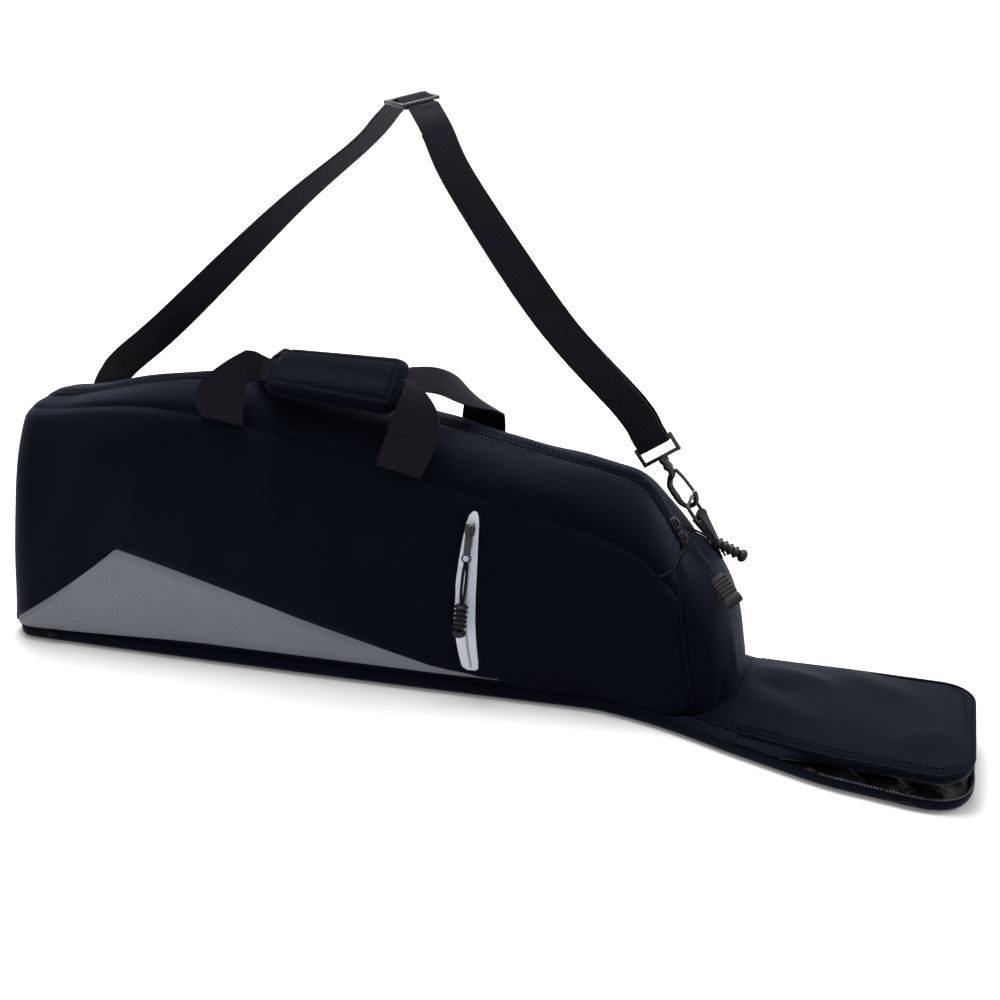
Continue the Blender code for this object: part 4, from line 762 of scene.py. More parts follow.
def cloth_panel(name, low, high, rows, cols, look, nodes, start, end, folds=(), ends_sewn=(True, True),
                swell=SWELL, thick=PANEL, lift=0.0, recess=None):
    """A sewn panel of the main bag; start and end give a station for each arc share."""
    across = np.linspace(0.0, 1.0, cols)
    along = np.linspace(0.0, 1.0, rows)
    points = np.zeros((rows, cols, 3))
    uv = np.zeros((rows, cols, 2))
    fall = np.zeros((rows, cols))
    sunk = np.zeros((rows, cols))
    for i, a in enumerate(along):
        for j, c in enumerate(across):
            middle = (start(0.2) + end(0.2)) / 2
            v = low(middle) + (high(middle) - low(middle)) * c
            s = start(v) + (end(v) - start(v)) * a
            v = low(s) + (high(s) - low(s)) * c
            points[i, j] = skin(s, v)
            length = arc_length(s)
            uv[i, j] = (s, v * length)
            sunk[i, j] = recess(s, points[i, j, 2]) if recess else 0.0
            fall[i, j] = seam_fall((v - low(s)) * length) + seam_fall((high(s) - v) * length)
            if ends_sewn[0]:
                fall[i, j] += seam_fall(s - start(v))
            if ends_sewn[1]:
                fall[i, j] += seam_fall(end(v) - s)
    normals = grid_normals(points)
    puff = swell * (1 + np.maximum(fall, -SEAM_DIP) / SEAM_DIP)
    moved = fall + puff + ripple(points) * (1 + np.maximum(fall, -SEAM_DIP) / SEAM_DIP)
    for first, last, width, height in folds:
        moved += ridge(points, skin(*first), skin(*last), width, height)
    outer = points + normals * (moved + lift - sunk)[..., None]
    inner = points + normals * (lift - thick)
    return slab(name, outer, inner, uv, look, "bag", nodes)


FRONT_FOLDS = [((0.05, 0.30), (0.16, 0.40), 0.020, 0.0022), ((0.24, 0.34), (0.40, 0.30), 0.030, 0.0020),
               ((0.36, 0.16), (0.42, 0.30), 0.016, -0.0012), ((0.10, 0.24), (0.26, 0.20), 0.040, 0.0018)]
POCKET_FOLDS = [((0.49, 0.30), (0.60, 0.26), 0.018, 0.0020), ((0.52, 0.10), (0.62, 0.22), 0.025, 0.0016),
                ((0.60, 0.05), (0.655, 0.20), 0.014, -0.0014)]
TOP_FOLDS = [((0.10, 0.45), (0.24, 0.43), 0.012, 0.0014), ((0.28, 0.42), (0.42, 0.41), 0.016, 0.0020),
             ((0.46, 0.40), (0.58, 0.38), 0.014, 0.0016)]
REAR_FOLDS = [((0.10, 0.75), (0.30, 0.80), 0.030, 0.0022), ((0.36, 0.70), (0.52, 0.82), 0.026, 0.0022),
              ((0.50, 0.92), (0.62, 0.80), 0.018, 0.0016)]


# The front top strip is closed by a slanting seam below the zip's right end
STRIP_SEAM = [(0.6712, 0.470), (0.6690, 0.430), (0.6622, 0.375), (0.6500, 0.338), (0.6415, 0.3225)]


def build_body():
    def begin(v):
        return SHELL_START_S

    def finish(v):
        return BODY_LENGTH

    def wedge_finish(v):
        return WEDGE_END_S

    cloth_panel("front_cloth", front_low_v, seam_v, 190, 46, "fabric", ["front_panel", "pocket_panel"], begin, finish,
                FRONT_FOLDS + POCKET_FOLDS, recess=pocket_recess)
    cloth_panel("wedge_cloth", wedge_low_v, wedge_v, 130, 16, "grey", ["grey_panel"], begin, wedge_finish,
                swell=0.0006)
    cloth_panel("band_cloth", foot_v, wedge_low_v, 130, 5, "fabric", [], begin, wedge_finish, swell=0.0004)
    cloth_panel("top_front_cloth", seam_v, lip_low_v, 150, 22, "fabric", ["top_front_strip"], begin, finish,
                TOP_FOLDS)
    cloth_panel("top_rear_cloth", lip_high_v, rear_seam_v, 150, 22, "fabric", ["top_rear_strip"], begin, finish)
    cloth_panel("back_cloth", rear_seam_v, rear_foot_v, 130, 40, "fabric", ["back_panel"], begin, finish,
                REAR_FOLDS)
    cloth_panel("main_tape_cloth", tape_low_v, tape_high_v, 150, 9, "dark_tape", ["main_zip_tape"], begin, finish,
                swell=0.0, lift=-0.0038, thick=0.0010)
    build_main_zip()
    build_pocket_zip()
    end_line = [skin(BODY_LENGTH, v) for v in np.linspace(0.0, 1.0, 140)]
    loft("end_piping", tube_rings(end_line, 0.0011, 8), "fabric", "bag")
    strip_line = smooth_path([skin(s, v) + skin_normal(s, v) * 0.0013 for s, v in STRIP_SEAM], 8)
    # The piping is a real seam piping, but its lighter webbing look is a painted highlight along the seam
    loft("strip_piping_painted_highlight", tube_rings(strip_line, 0.0009, 8), "webbing", "bag")


def build_main_zip():
    stations = np.linspace(0.032, BODY_LENGTH - 0.002, 260)
    normals = [skin_normal(s, 0.5) for s in stations]
    points = [skin(s, 0.5) - normal * 0.0034 for s, normal in zip(stations, normals)]
    teeth_row("main_zip_teeth", points, normals, "coil", "bag", ["main_zip_chain"])
    for side, name in ((-1, "front"), (1, "rear")):
        for row, away in enumerate((0.0050, 0.0105)):
            line = []
            ups = []
            for s in np.linspace(0.02, BODY_LENGTH - 0.006, 200):
                v = 0.5 + side * away / arc_length(s)
                ups.append(skin_normal(s, v))
                line.append(skin(s, v) + ups[-1] * 0.0011)
            stitch_row("zip_stitches_%s_%d" % (name, row), line, ups, "bag")


def pocket_arc():
    """Centre and radius of the circle that the pocket's zip follows, in y and z at one station."""
    s = POCKET_ZIP_S - 0.004
    points = []
    for z in (POCKET_SLIDER_Z, 0.11, 0.05):
        v = height_to_v(s, z)
        points.append(skin(s, v) + skin_normal(s, v) * (2 * GAP + 0.0008))
    a, b, c = [Vector((p.y, p.z)) for p in points]
    turn = 2 * ((b.x - a.x) * (c.y - a.y) - (b.y - a.y) * (c.x - a.x))
    ab = b.length_squared - a.length_squared
    ac = c.length_squared - a.length_squared
    centre = Vector(((ab * (c.y - a.y) - ac * (b.y - a.y)) / turn, (ac * (b.x - a.x) - ab * (c.x - a.x)) / turn))
    return centre, (a - centre).length


def pocket_line(z, lift):
    centre, radius = pocket_arc()
    y = centre.x - math.sqrt(radius * radius - (z - centre.y) ** 2)
    out = (Vector((y, z)) - centre).normalized()
    x = BODY_LEFT + POCKET_ZIP_S - 0.004
    return Vector((x, y + out.x * lift, z + out.y * lift)), Vector((0, out.x, out.y))


def pocket_tape_middle(z):
    low = max(POCKET_TAPE_WIDEST_Z - z, 0.0) / (POCKET_TAPE_WIDEST_Z - POCKET_TAPE_LOW_Z)
    high = max(z - POCKET_TAPE_WIDEST_Z, 0.0) / (POCKET_TAPE_TOP_Z - POCKET_TAPE_WIDEST_Z)
    return 0.4537 + POCKET_BOW * (low ** 2 + high ** 1.4)


def pocket_tape_half(z):
    plain = POCKET_TAPE_HALF - 0.0034 * ((z - POCKET_TAPE_WIDEST_Z) / 0.075) ** 2
    low = 1 - min(max((z - POCKET_TAPE_LOW_Z) / 0.004, 0.0), 1.0)
    high = 1 - min(max((POCKET_TAPE_TOP_Z - z) / 0.012, 0.0), 1.0)
    return plain * (0.45 + 0.55 * math.sqrt(max(1 - low * low, 0.0))) * (0.2 + 0.8 * math.sqrt(max(1 - high * high, 0.0)))


def pocket_recess(s, z):
    """The front cloth sinks round the pocket's zip."""
    inside = min(max(z, POCKET_TAPE_LOW_Z), POCKET_TAPE_TOP_Z)
    middle = pocket_tape_middle(inside)
    half = pocket_tape_half(inside)
    beyond = max(abs(s - middle) - half, POCKET_TAPE_LOW_Z - z, z - POCKET_TAPE_TOP_Z, 0.0)
    return 0.0024 * math.exp(-(beyond / 0.0024) ** 2)


def build_pocket_zip():
    rows = 70
    cols = 13
    points = np.zeros((rows, cols, 3))
    uv = np.zeros((rows, cols, 2))
    for i, z in enumerate(np.linspace(POCKET_TAPE_LOW_Z, POCKET_TAPE_TOP_Z, rows)):
        middle = pocket_tape_middle(z)
        half = pocket_tape_half(z)
        for j, share in enumerate(np.linspace(-1.0, 1.0, cols)):
            s = middle + half * share
            v = height_to_v(s, z)
            points[i, j] = skin(s, v) - skin_normal(s, v) * (0.0004 + 0.0006 * abs(share) ** 3)
            uv[i, j] = (half * share, z)
    inner = points - grid_normals(points) * 0.0010
    slab("pocket_tape_cloth", points, inner, uv, "tape", "bag", ["pocket_zip_tape"])
    line = []
    normals = []
    for z in np.linspace(POCKET_TAPE_LOW_Z + 0.003, POCKET_CHAIN_TOP_Z, 80):
        s = pocket_tape_middle(z) + 0.0010
        v = height_to_v(s, z)
        normals.append(skin_normal(s, v))
        line.append(skin(s, v) + normals[-1] * 0.0001)
    teeth_row("pocket_zip_teeth", line, normals, "coil", "bag", ["pocket_zip_chain"], size=(0.0010, 0.0016, 0.0010),
              pitch=0.0014)


def tail_foot(share):
    """The right end panel's foot over the sleeve, from the rear (0) to the front (1)."""
    front = half_width(BODY_LENGTH)
    t = front * (1 - 2 * share)
    reach = FLAP_ROOT_S - 2 * GAP - BODY_LENGTH
    round_it = math.sqrt(max(1 - (t / front) ** 2, 0.0))
    rise = (FLAP_CROWN + FLAP_ROOT_Z - FOOT_Z) * round_it
    return place(BODY_LENGTH + reach * round_it, t, FOOT_Z + rise)


def end_cloth(name, rim, centre, facing, bulge, nodes):
    """A domed end panel inside a closed rim of points."""
    shares = np.concatenate([np.linspace(1.0, 0.9, 9)[:-1], np.linspace(0.9, 0.03, 26)])
    count = len(rim)
    facing = Vector(facing)
    points = np.zeros((len(shares), count, 3))
    for i, point in enumerate(rim):
        for k, share in enumerate(shares):
            points[k, i] = centre.lerp(point, share) + facing * bulge * (1 - share ** CAP_POWER)
    span = np.array([(point - centre).length for point in rim])
    fall = seam_fall((1 - shares)[:, None] * span[None, :])
    moved = fall + SWELL * (1 + fall / SEAM_DIP) + ripple(points) * (1 + fall / SEAM_DIP)
    out = np.array(tuple(facing))
    outer = points + out * moved[..., None]
    inner = points - out * PANEL
    rows = len(shares)
    verts = list(outer.reshape(-1, 3)) + list(inner.reshape(-1, 3))
    back = rows * count
    faces = grid_faces(rows, count, wrap=True) + [f[::-1] for f in grid_faces(rows, count, back, wrap=True)]
    tail = (rows - 1) * count
    faces.append(tuple(tail + i for i in range(count)))
    faces.append(tuple(back + tail + i for i in range(count))[::-1])
    for i in range(count):
        j = (i + 1) % count
        faces.append((j, i, back + i, back + j))
    across = facing.orthogonal().normalized()
    upright = facing.cross(across)
    uvs = [(Vector(p).dot(across), Vector(p).dot(upright)) for p in verts]
    return finish_piece(name, verts, faces, "fabric", "bag", nodes, uvs)


def right_end_points(rows, cols):
    """Level arcs from the front seam round to the rear seam, from the foot up to the zip's end."""
    points = np.zeros((rows, cols, 3))
    uv = np.zeros((rows, cols, 2))
    reach = FLAP_ROOT_S - 2 * GAP - BODY_LENGTH
    rise = FLAP_CROWN + FLAP_ROOT_Z - FOOT_Z
    top_z = skin(BODY_LENGTH, 0.5).z
    facing = np.array((1.0, 0.0, 0.10))
    for i, share in enumerate(np.linspace(0.0, 1.0, rows)):
        v = 0.4985 * share ** 1.15
        front = np.array(tuple(skin(BODY_LENGTH, v)))
        rear = np.array(tuple(skin(BODY_LENGTH, 1 - v)))
        high = min(max((front[2] - FOOT_Z) / (top_z - FOOT_Z), 0.0), 1.0)
        bulge = (reach + 0.038 * high) * max(1 - high ** 1.6, 0.0) ** 0.85
        for j, q in enumerate(np.linspace(0.0, 1.0, cols)):
            round_it = math.sqrt(max(1 - (2 * q - 1) ** 2, 0.0))
            base = front + (rear - front) * q
            lift = rise * round_it * max(1 - high / 0.5, 0.0) ** 2
            bend = float(drift(BODY_LENGTH + bulge * round_it) - drift(BODY_LENGTH))
            points[i, j] = base + facing * bulge * round_it + np.array((0.0, bend * (1 - high), lift))
            uv[i, j] = (q * 0.20, share * 0.16)
    return points, uv


def right_end_surface(rows, cols):
    """The right end panel's inner places, its outer places, the ways these face, and the cloth's own map."""
    points, uv = right_end_points(rows, cols)
    normals = grid_normals(points)
    normals *= np.sign(normals[..., :1].mean())
    across = np.minimum(np.linspace(0, 1, cols), np.linspace(1, 0, cols))[None, :] * 0.15
    fall = seam_fall(across) * np.ones((rows, 1))
    moved = fall + SWELL * (1 + fall / SEAM_DIP) + ripple(points) * (1 + fall / SEAM_DIP)
    folds = [(place(0.706, -0.030, 0.034), place(0.698, -0.010, 0.125), 0.006, 0.0024),
             (place(0.690, -0.058, 0.016), place(0.697, -0.046, 0.060), 0.006, -0.0024),
             (place(0.682, -0.055, 0.085), place(0.694, -0.030, 0.118), 0.010, 0.0016)]
    for first, last, width, height in folds:
        moved = moved + ridge(points, first, last, width, height)
    return points - normals * PANEL, points + normals * moved[..., None], normals, uv


def build_ends():
    foot_steps = 24
    rim = [skin(SHELL_START_S, v) for v in np.linspace(0.0, 1.0, 130)]
    rim += [rim[-1].lerp(rim[0], k / foot_steps) for k in range(1, foot_steps)]
    end_cloth("left_end_cloth", rim, place(0.0, 0.0, CREST_LEFT_Z / 2), (-1, 0, 0), LEFT_CAP_BULGE,
              ["left_end_panel"])
    inner, outer, _, uv = right_end_surface(54, 70)
    slab("right_end_cloth", outer, inner, uv, "fabric", "bag", ["right_end_panel"])


# Sleeve

def ring_outline(corners, radius, steps):
    """A closed outline through corners with rounded turns."""
    points = []
    count = len(corners)
    for k in range(count):
        before = Vector(corners[k - 1])
        here = Vector(corners[k])
        after = Vector(corners[(k + 1) % count])
        back = before - here
        on = after - here
        bend_r = min(radius[k], back.length / 2, on.length / 2)
        if bend_r < 1e-6:
            points.append(here)
            continue
        enter = here + back.normalized() * bend_r
        leave = here + on.normalized() * bend_r
        for i in range(steps + 1):
            share = i / steps
            points.append(enter.lerp(here, share).lerp(here.lerp(leave, share), share))
    return points


def inset_outline(points, amount):
    moved = []
    count = len(points)
    for k in range(count):
        along = (points[(k + 1) % count] - points[k - 1]).normalized()
        moved.append(points[k] + Vector((-along.y, along.x)) * amount)
    return moved


def tray_outline():
    front = list(np.linspace(0.05, 0.80, 56))
    left = -0.5 * LEFT_FLARE
    corners = [(left, -lookup(TRAY_FRONT_T, 0.0))]
    corners += [(s, -lookup(TRAY_FRONT_T, s)) for s in front]
    corners += [(TAIL_LENGTH, -lookup(TRAY_FRONT_T, TAIL_LENGTH)), (TAIL_LENGTH, lookup(TRAY_BACK_T, TAIL_LENGTH))]
    corners += [(s, lookup(TRAY_BACK_T, s)) for s in front[::-1]]
    corners += [(left, lookup(TRAY_BACK_T, 0.0))]
    radius = [0.018] + [0.0] * len(front) + [0.055, 0.034] + [0.0] * len(front) + [0.018]
    return ring_outline(corners, radius, 10)


def lifted(points, z):
    return [place(p.x, p.y, z) for p in points]


def tray_bulge(s):
    """The bottom's front edge is fuller under the main bag."""
    return TRAY_FULL * math.sin(math.pi * min(max(s / 0.68, 0.0), 1.0)) ** 0.7


def build_tray():
    outer = tray_outline()
    profile = [(PANEL + TRAY_ROUND, PANEL, 0.0), (PANEL + 0.002, PANEL + 0.002, 0.0), (PANEL, PANEL + 0.006, 0.0),
               (PANEL * 0.8, TRAY_WALL_Z, 0.0), (PANEL * 0.4, TRAY_WALL_Z + 0.0006, 0.0), (0.0006, TRAY_WALL_Z, 0.1),
               (0.0, 0.0095, 0.55), (0.0002, 0.0070, 0.95), (0.0008, 0.0045, 1.0), (0.0024, 0.0018, 0.85),
               (TRAY_ROUND, 0.0, 0.5)]
    rings = []
    for inset, z, full in profile:
        ring = []
        for p in inset_outline(outer, inset):
            forward = tray_bulge(p.x) * full if p.y < 0 else 0.0
            ring.append(place(p.x, p.y - forward, z))
        rings.append(ring)
    loft("tray_cloth", rings, "fabric", "bag", ["base_tray"])
    lip = [p for p in inset_outline(outer, 0.0012) if p.x > (0.775 if p.y < 0 else FLAP_ROOT_S + 0.006)]
    line = lifted(lip, TRAY_WALL_Z + 0.0006)
    # These teeth take the lighter teeth colour, which is a painted glint; the flap's matching teeth keep the dark one
    teeth_row("tray_zip_teeth", line, [Vector((0, 0, 1))] * len(line), "coil_painted_glint", "bag", ["tray_zip_chain"],
              size=(0.0009, 0.0014, 0.0008), pitch=0.0026, stagger=False)


def flap_surface(s, t):
    """Height of the flap's top over a point of the sleeve."""
    along = (s - FLAP_ROOT_S) / (TAIL_LENGTH - FLAP_ROOT_S)
    front = lookup(FLAP_FRONT_T, s)
    back = lookup(FLAP_BACK_T, s)
    across = min(max((t + front) / (front + back), 0.0), 1.0)
    front_z = FLAP_ROOT_Z + (FLAP_FRONT_Z - FLAP_ROOT_Z) * along
    back_z = FLAP_ROOT_Z + (FLAP_BACK_Z - FLAP_ROOT_Z) * along
    crown = FLAP_CROWN * (1 - 0.65 * along) * (4 * across * (1 - across)) ** 0.8
    return front_z + (back_z - front_z) * across + crown


def flap_stations(straight_count, turn_count):
    straight = list(np.linspace(FLAP_ROOT_S, FLAP_END_S - FLAP_CORNER, straight_count))
    turns = [FLAP_END_S - FLAP_CORNER * (1 - math.sin(math.pi / 2 * k / turn_count))
             for k in range(1, turn_count + 1)]
    return straight + turns


def flap_span(s):
    into = max(s - (FLAP_END_S - FLAP_CORNER), 0.0)
    drawn = FLAP_CORNER - math.sqrt(max(FLAP_CORNER ** 2 - into ** 2, 0.0))
    return -float(lookup(FLAP_FRONT_T, s)) + drawn, float(lookup(FLAP_BACK_T, s)) - drawn


def flap_edge():
    stations = flap_stations(40, 12)
    front = [(s, flap_span(s)[0]) for s in stations]
    back = [(s, flap_span(s)[1]) for s in stations[::-1]]
    low, high = front[-1][1], back[0][1]
    end = [(FLAP_END_S, low + (high - low) * k / 24) for k in range(1, 24)]
    return front + end + back


FLAP_FOLDS = [((0.715, 0.030), (0.80, 0.010), 0.012, 0.0030), ((0.72, -0.030), (0.79, -0.055), 0.012, 0.0028),
              ((0.79, 0.050), (0.86, 0.020), 0.016, 0.0024), ((0.83, -0.055), (0.90, -0.020), 0.018, 0.0026),
              ((0.72, 0.0), (0.76, -0.02), 0.009, -0.0030)]


def zip_shut(s, t):
    """1 where the flap's edge is zipped to the tray, 0 where it is open."""
    start = ZIP_OPEN_S if t < 0 else ZIP_OPEN_BACK_S
    share = min(max((start - s) / 0.045, 0.0), 1.0)
    return share * share * (3 - 2 * share)


def build_flap():
    stations = flap_stations(56, 14)
    columns = 48
    points = np.zeros((len(stations), columns + 1, 3))
    uv = np.zeros((len(stations), columns + 1, 2))
    edge_gap = np.zeros((len(stations), columns + 1))
    for i, s in enumerate(stations):
        low, high = flap_span(s)
        for j in range(columns + 1):
            t = low + (high - low) * j / columns
            points[i, j] = place(s, t, flap_surface(s, t))
            uv[i, j] = (s, t)
            edge_gap[i, j] = min(t - low, high - t, FLAP_END_S - s)
    normals = grid_normals(points)
    moved = ripple(points, 0.0006) - 0.0016 * np.exp(-(edge_gap / 0.004) ** 2)
    for first, last, width, height in FLAP_FOLDS:
        start = place(*first, flap_surface(*first))
        end = place(*last, flap_surface(*last))
        moved += ridge(points, start, end, width, height)
    outer = points + normals * moved[..., None]
    inner = points - normals * PANEL
    slab("flap_cloth", outer, inner, uv, "fabric", "flap", ["sleeve_flap"])

    edge = flap_edge()
    welt = [place(s, t, flap_surface(s, t) - 0.0012) for s, t in edge]
    loft("flap_piping", tube_rings(welt, 0.0015, 10), "fabric", "flap")
    inset = 0.0075
    path = [Vector(p) for p in edge]
    seam = []
    for k in range(len(path)):
        along = (path[min(k + 1, len(path) - 1)] - path[max(k - 1, 0)]).normalized()
        seam.append(path[k] + Vector((-along.y, along.x)) * inset)
    line = [place(p.x, p.y, flap_surface(p.x, p.y) + 0.0004) for p in seam[2:-2]]
    stitch_row("flap_stitches", line, [Vector((0, 0, 1))] * len(line), "flap")

    heights = (0.0, 0.15, 0.3, 0.45, 0.6, 0.75, 0.9, 1.0)
    bulge = (0.0, 0.0007, 0.0010, 0.0011, 0.0010, 0.0007, 0.0003, 0.0)
    outer = np.zeros((len(path), len(heights), 3))
    inner = np.zeros((len(path), len(heights), 3))
    uv = np.zeros((len(path), len(heights), 2))
    teeth = []
    for k, point in enumerate(path):
        along = (path[min(k + 1, len(path) - 1)] - path[max(k - 1, 0)]).normalized()
        inward = Vector((-along.y, along.x))
        top = flap_surface(point.x, point.y) - PANEL * 0.8
        for j, share in enumerate(heights):
            near = point + inward * (0.0004 - bulge[j])
            far = point + inward * 0.0024
            outer[k, j] = place(near.x, near.y, top - FLAP_RIM * share)
            inner[k, j] = place(far.x, far.y, top - FLAP_RIM * share)
            uv[k, j] = (k * 0.006, share * FLAP_RIM)
        hang = place(point.x + inward.x * 0.0014, point.y + inward.y * 0.0014, top - FLAP_RIM - 0.0002)
        shut = zip_shut(point.x, point.y)
        lip_t = -float(lookup(TRAY_FRONT_T, point.x)) if point.y < 0 else float(lookup(TRAY_BACK_T, point.x))
        lip = place(point.x, lip_t * 0.975, TRAY_WALL_Z + 0.0016)
        for j, share in enumerate(heights):
            pull = (lip - Vector(outer[k, -1])) * shut * share
            outer[k, j] = Vector(outer[k, j]) + pull
            inner[k, j] = Vector(inner[k, j]) + pull
        if shut < 0.98:
            teeth.append(hang.lerp(lip, shut))
    slab("flap_gusset_cloth", outer, inner, uv, "fabric", "flap", ["flap_gusset"])
    teeth_row("flap_zip_teeth", teeth, [Vector((0, 0, -1))] * len(teeth), "coil", "flap", ["flap_zip_chain"],
              size=(0.0010, 0.0022, 0.0012), stagger=False)


ROOT_LAP = 0.0022             # the root cloth laps this far over the flap
ROOT_SIDE = 0.14              # share of its outer line that runs along each side
SKIRT_START_S = 0.600


def root_edge(share, side):
    """The edge from the end panel's corner (0) to the flap's corner (1), at the front (-1) or the rear (1)."""
    root_s = FLAP_ROOT_S + ROOT_LAP
    t = flap_span(FLAP_ROOT_S)[0 if side < 0 else 1]
    corner = place(BODY_LENGTH - 0.001, side * (half_width(BODY_LENGTH) + 0.002), FOOT_Z + 0.0035)
    return corner.lerp(place(root_s, t, float(flap_surface(root_s, t)) + 0.0004), share)


def root_line(share):
    """The root cloth's outer line, from the rear corner round by the flap's root to the front corner."""
    root_s = FLAP_ROOT_S + ROOT_LAP
    if share < ROOT_SIDE:
        return root_edge(share / ROOT_SIDE, 1)
    if share > 1 - ROOT_SIDE:
        return root_edge((1 - share) / ROOT_SIDE, -1)
    low, high = flap_span(FLAP_ROOT_S)
    t = high + (low - high) * (share - ROOT_SIDE) / (1 - 2 * ROOT_SIDE)
    return place(root_s, t, float(flap_surface(root_s, t)) + 0.0004)


def build_flap_root():
    """The cloth from the end panel's foot to the flap's root, with its welts and its skirts down to the tray."""
    columns = 101
    rows = 12
    points = np.zeros((rows, columns, 3))
    uv = np.zeros((rows, columns, 2))
    for j, share in enumerate(np.linspace(0.0, 1.0, columns)):
        far = root_line(share)
        near = tail_foot(share) + Vector((-0.003, 0, 0.001))
        width = (far - near).length
        for i, part in enumerate(np.linspace(0.0, 1.0, rows)):
            point = near.lerp(far, part)
            point.z += 0.10 * width * part * (1 - part)
            points[i, j] = point
            uv[i, j] = (share * 0.24, part * width)
    inner = points - np.array((0.0, 0.0, 0.0014))
    cloth = slab("flap_root_cloth", points, inner, uv, "fabric", None)
    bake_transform(cloth)
    for name, side in (("front", -1), ("rear", 1)):
        table = TRAY_FRONT_T if side < 0 else TRAY_BACK_T
        edge = [root_edge(share, side) - Vector((0, 0, 0.0012)) for share in np.linspace(0.0, 1.06, 36)]
        loft("root_%s_piping" % name, tube_rings(edge, 0.0015, 10), "fabric", "bag")
        v = 0.004 if side < 0 else 0.996
        foot = [skin(s, v) - skin_normal(s, v) * 0.001 for s in np.linspace(SKIRT_START_S, BODY_LENGTH - 0.002, 36)]
        edge = foot + edge
        outer = np.zeros((len(edge), 8, 3))
        uv = np.zeros((len(edge), 8, 2))
        for k, top in enumerate(edge):
            s = top.x - BODY_LEFT
            lip = place(s, side * float(lookup(table, s)) * 0.985, TRAY_WALL_Z + 0.0012)
            for j, part in enumerate(np.linspace(0.0, 1.0, 8)):
                point = (top - Vector((0, 0, 0.0006))).lerp(lip, part)
                point.z += 0.0016 * math.sin(math.pi * part)
                outer[k, j] = point
                uv[k, j] = (s, part * (lip - top).length)
        inner = outer - np.array((0.0, side * 0.0008, 0.0012))
        slab("root_%s_skirt" % name, outer, inner, uv, "fabric", "bag")


def build_sleeve_lining():
    """The shiny lining that shows between the open flap and the sleeve's lip."""
    stations = np.linspace(0.70, TAIL_LENGTH - 0.006, 90)
    columns = 60
    points = np.zeros((len(stations), columns, 3))
    uv = np.zeros((len(stations), columns, 2))
    for i, s in enumerate(stations):
        into = max(s - (TAIL_LENGTH - 0.050), 0.0)
        drawn = 0.050 - math.sqrt(max(0.050 ** 2 - into ** 2, 0.0))
        low = -float(lookup(TRAY_FRONT_T, s)) + 0.0048 + drawn
        high = float(lookup(TRAY_BACK_T, s)) - 0.0048 - drawn * 0.7
        for j in range(columns):
            share = j / (columns - 1)
            t = low + (high - low) * share
            near = min(t - low, high - t, TAIL_LENGTH - s)
            z = 0.0050 + 0.0045 * (1 - math.exp(-(near / 0.014) ** 2))
            z += 0.0022 * math.sin(150 * s + 90 * t) * math.exp(-(near - 0.016) ** 2 / 0.0004)
            z += 0.0011 * math.sin(310 * s - 120 * t) + 0.0006 * math.sin(520 * t + 190 * s)
            points[i, j] = place(s, t, z)
            uv[i, j] = (s, t)
    inner = points - np.array((0.0, 0.0, 0.0010))
    slab("sleeve_lining_cloth", points, inner, uv, "lining", "bag")


# Carry handles

# Front arms as pairs of points on the band's upper and lower edge, and the pair at which it folds
FRONT_ARMS = {
    "front_handle_left": (-1, (0.1930, 0.2360), 4, [
        ((0.1908, -0.0520, 0.2610), (0.2378, -0.0540, 0.2561)),
        ((0.1958, -0.0530, 0.2753), (0.2396, -0.0540, 0.2640)),
        ((0.2078, -0.0510, 0.2882), (0.2402, -0.0520, 0.2711)),
        ((0.2256, -0.0470, 0.3013), (0.2409, -0.0500, 0.2763)),
        ((0.2401, -0.0430, 0.3093), (0.2408, -0.0470, 0.2782)),
        ((0.2441, -0.0340, 0.3059), (0.2437, -0.0420, 0.2782)),
        ((0.2476, -0.0240, 0.2993), (0.2485, -0.0370, 0.2784))]),
    "front_handle_right": (1, (0.3660, 0.4085), 5, [
        ((0.3739, -0.0585, 0.2355), (0.4173, -0.0600, 0.2239)),
        ((0.3788, -0.0580, 0.2501), (0.4233, -0.0605, 0.2419)),
        ((0.3837, -0.0545, 0.2655), (0.4268, -0.0575, 0.2582)),
        ((0.3876, -0.0480, 0.2778), (0.4229, -0.0515, 0.2699)),
        ((0.3899, -0.0400, 0.2858), (0.4122, -0.0430, 0.2802)),
        ((0.3876, -0.0320, 0.2896), (0.3981, -0.0330, 0.2870))]),
}
REAR_ARMS = {
    "rear_handle_left": (-1, REAR_ARM_S[0],
                         [(0.2360, 0.0500, 0.2620), (0.2375, 0.0360, 0.2720), (0.2400, 0.0180, 0.2800),
                          (0.2435, 0.0000, 0.2850), (0.2480, -0.0120, 0.2860)]),
    "rear_handle_right": (1, REAR_ARM_S[1],
                          [(0.4390, 0.0530, 0.238), (0.438, 0.0420, 0.250), (0.426, 0.0190, 0.2660),
                           (0.409, -0.0030, 0.2810)]),
}
ARM_SINK = 0.004


def grip_share(s):
    return min(max((s - GRIP_START_S) / (GRIP_END_S - GRIP_START_S), 0.0), 1.0)


def grip_across(s):
    """The grip's width direction, down to the front."""
    roll = GRIP_ROLL[0] + (GRIP_ROLL[1] - GRIP_ROLL[0]) * grip_share(s)
    return Vector((0.0, -math.cos(roll), -math.sin(roll)))


def grip_middle(s):
    return place(s, GRIP_T, GRIP_Z + GRIP_RISE[0] + (GRIP_RISE[1] - GRIP_RISE[0]) * grip_share(s))


def grip_upright(s):
    return grip_across(s).cross(Vector((1, 0, 0))).normalized()


def seam_knot(s, clear):
    v = rear_seam_v(s) - 0.004
    return skin(s, v) + skin_normal(s, v) * clear


def mouth_at(way):
    s = (GRIP_START_S if way < 0 else GRIP_END_S) - way * 0.004
    return grip_middle(s), grip_across(s)


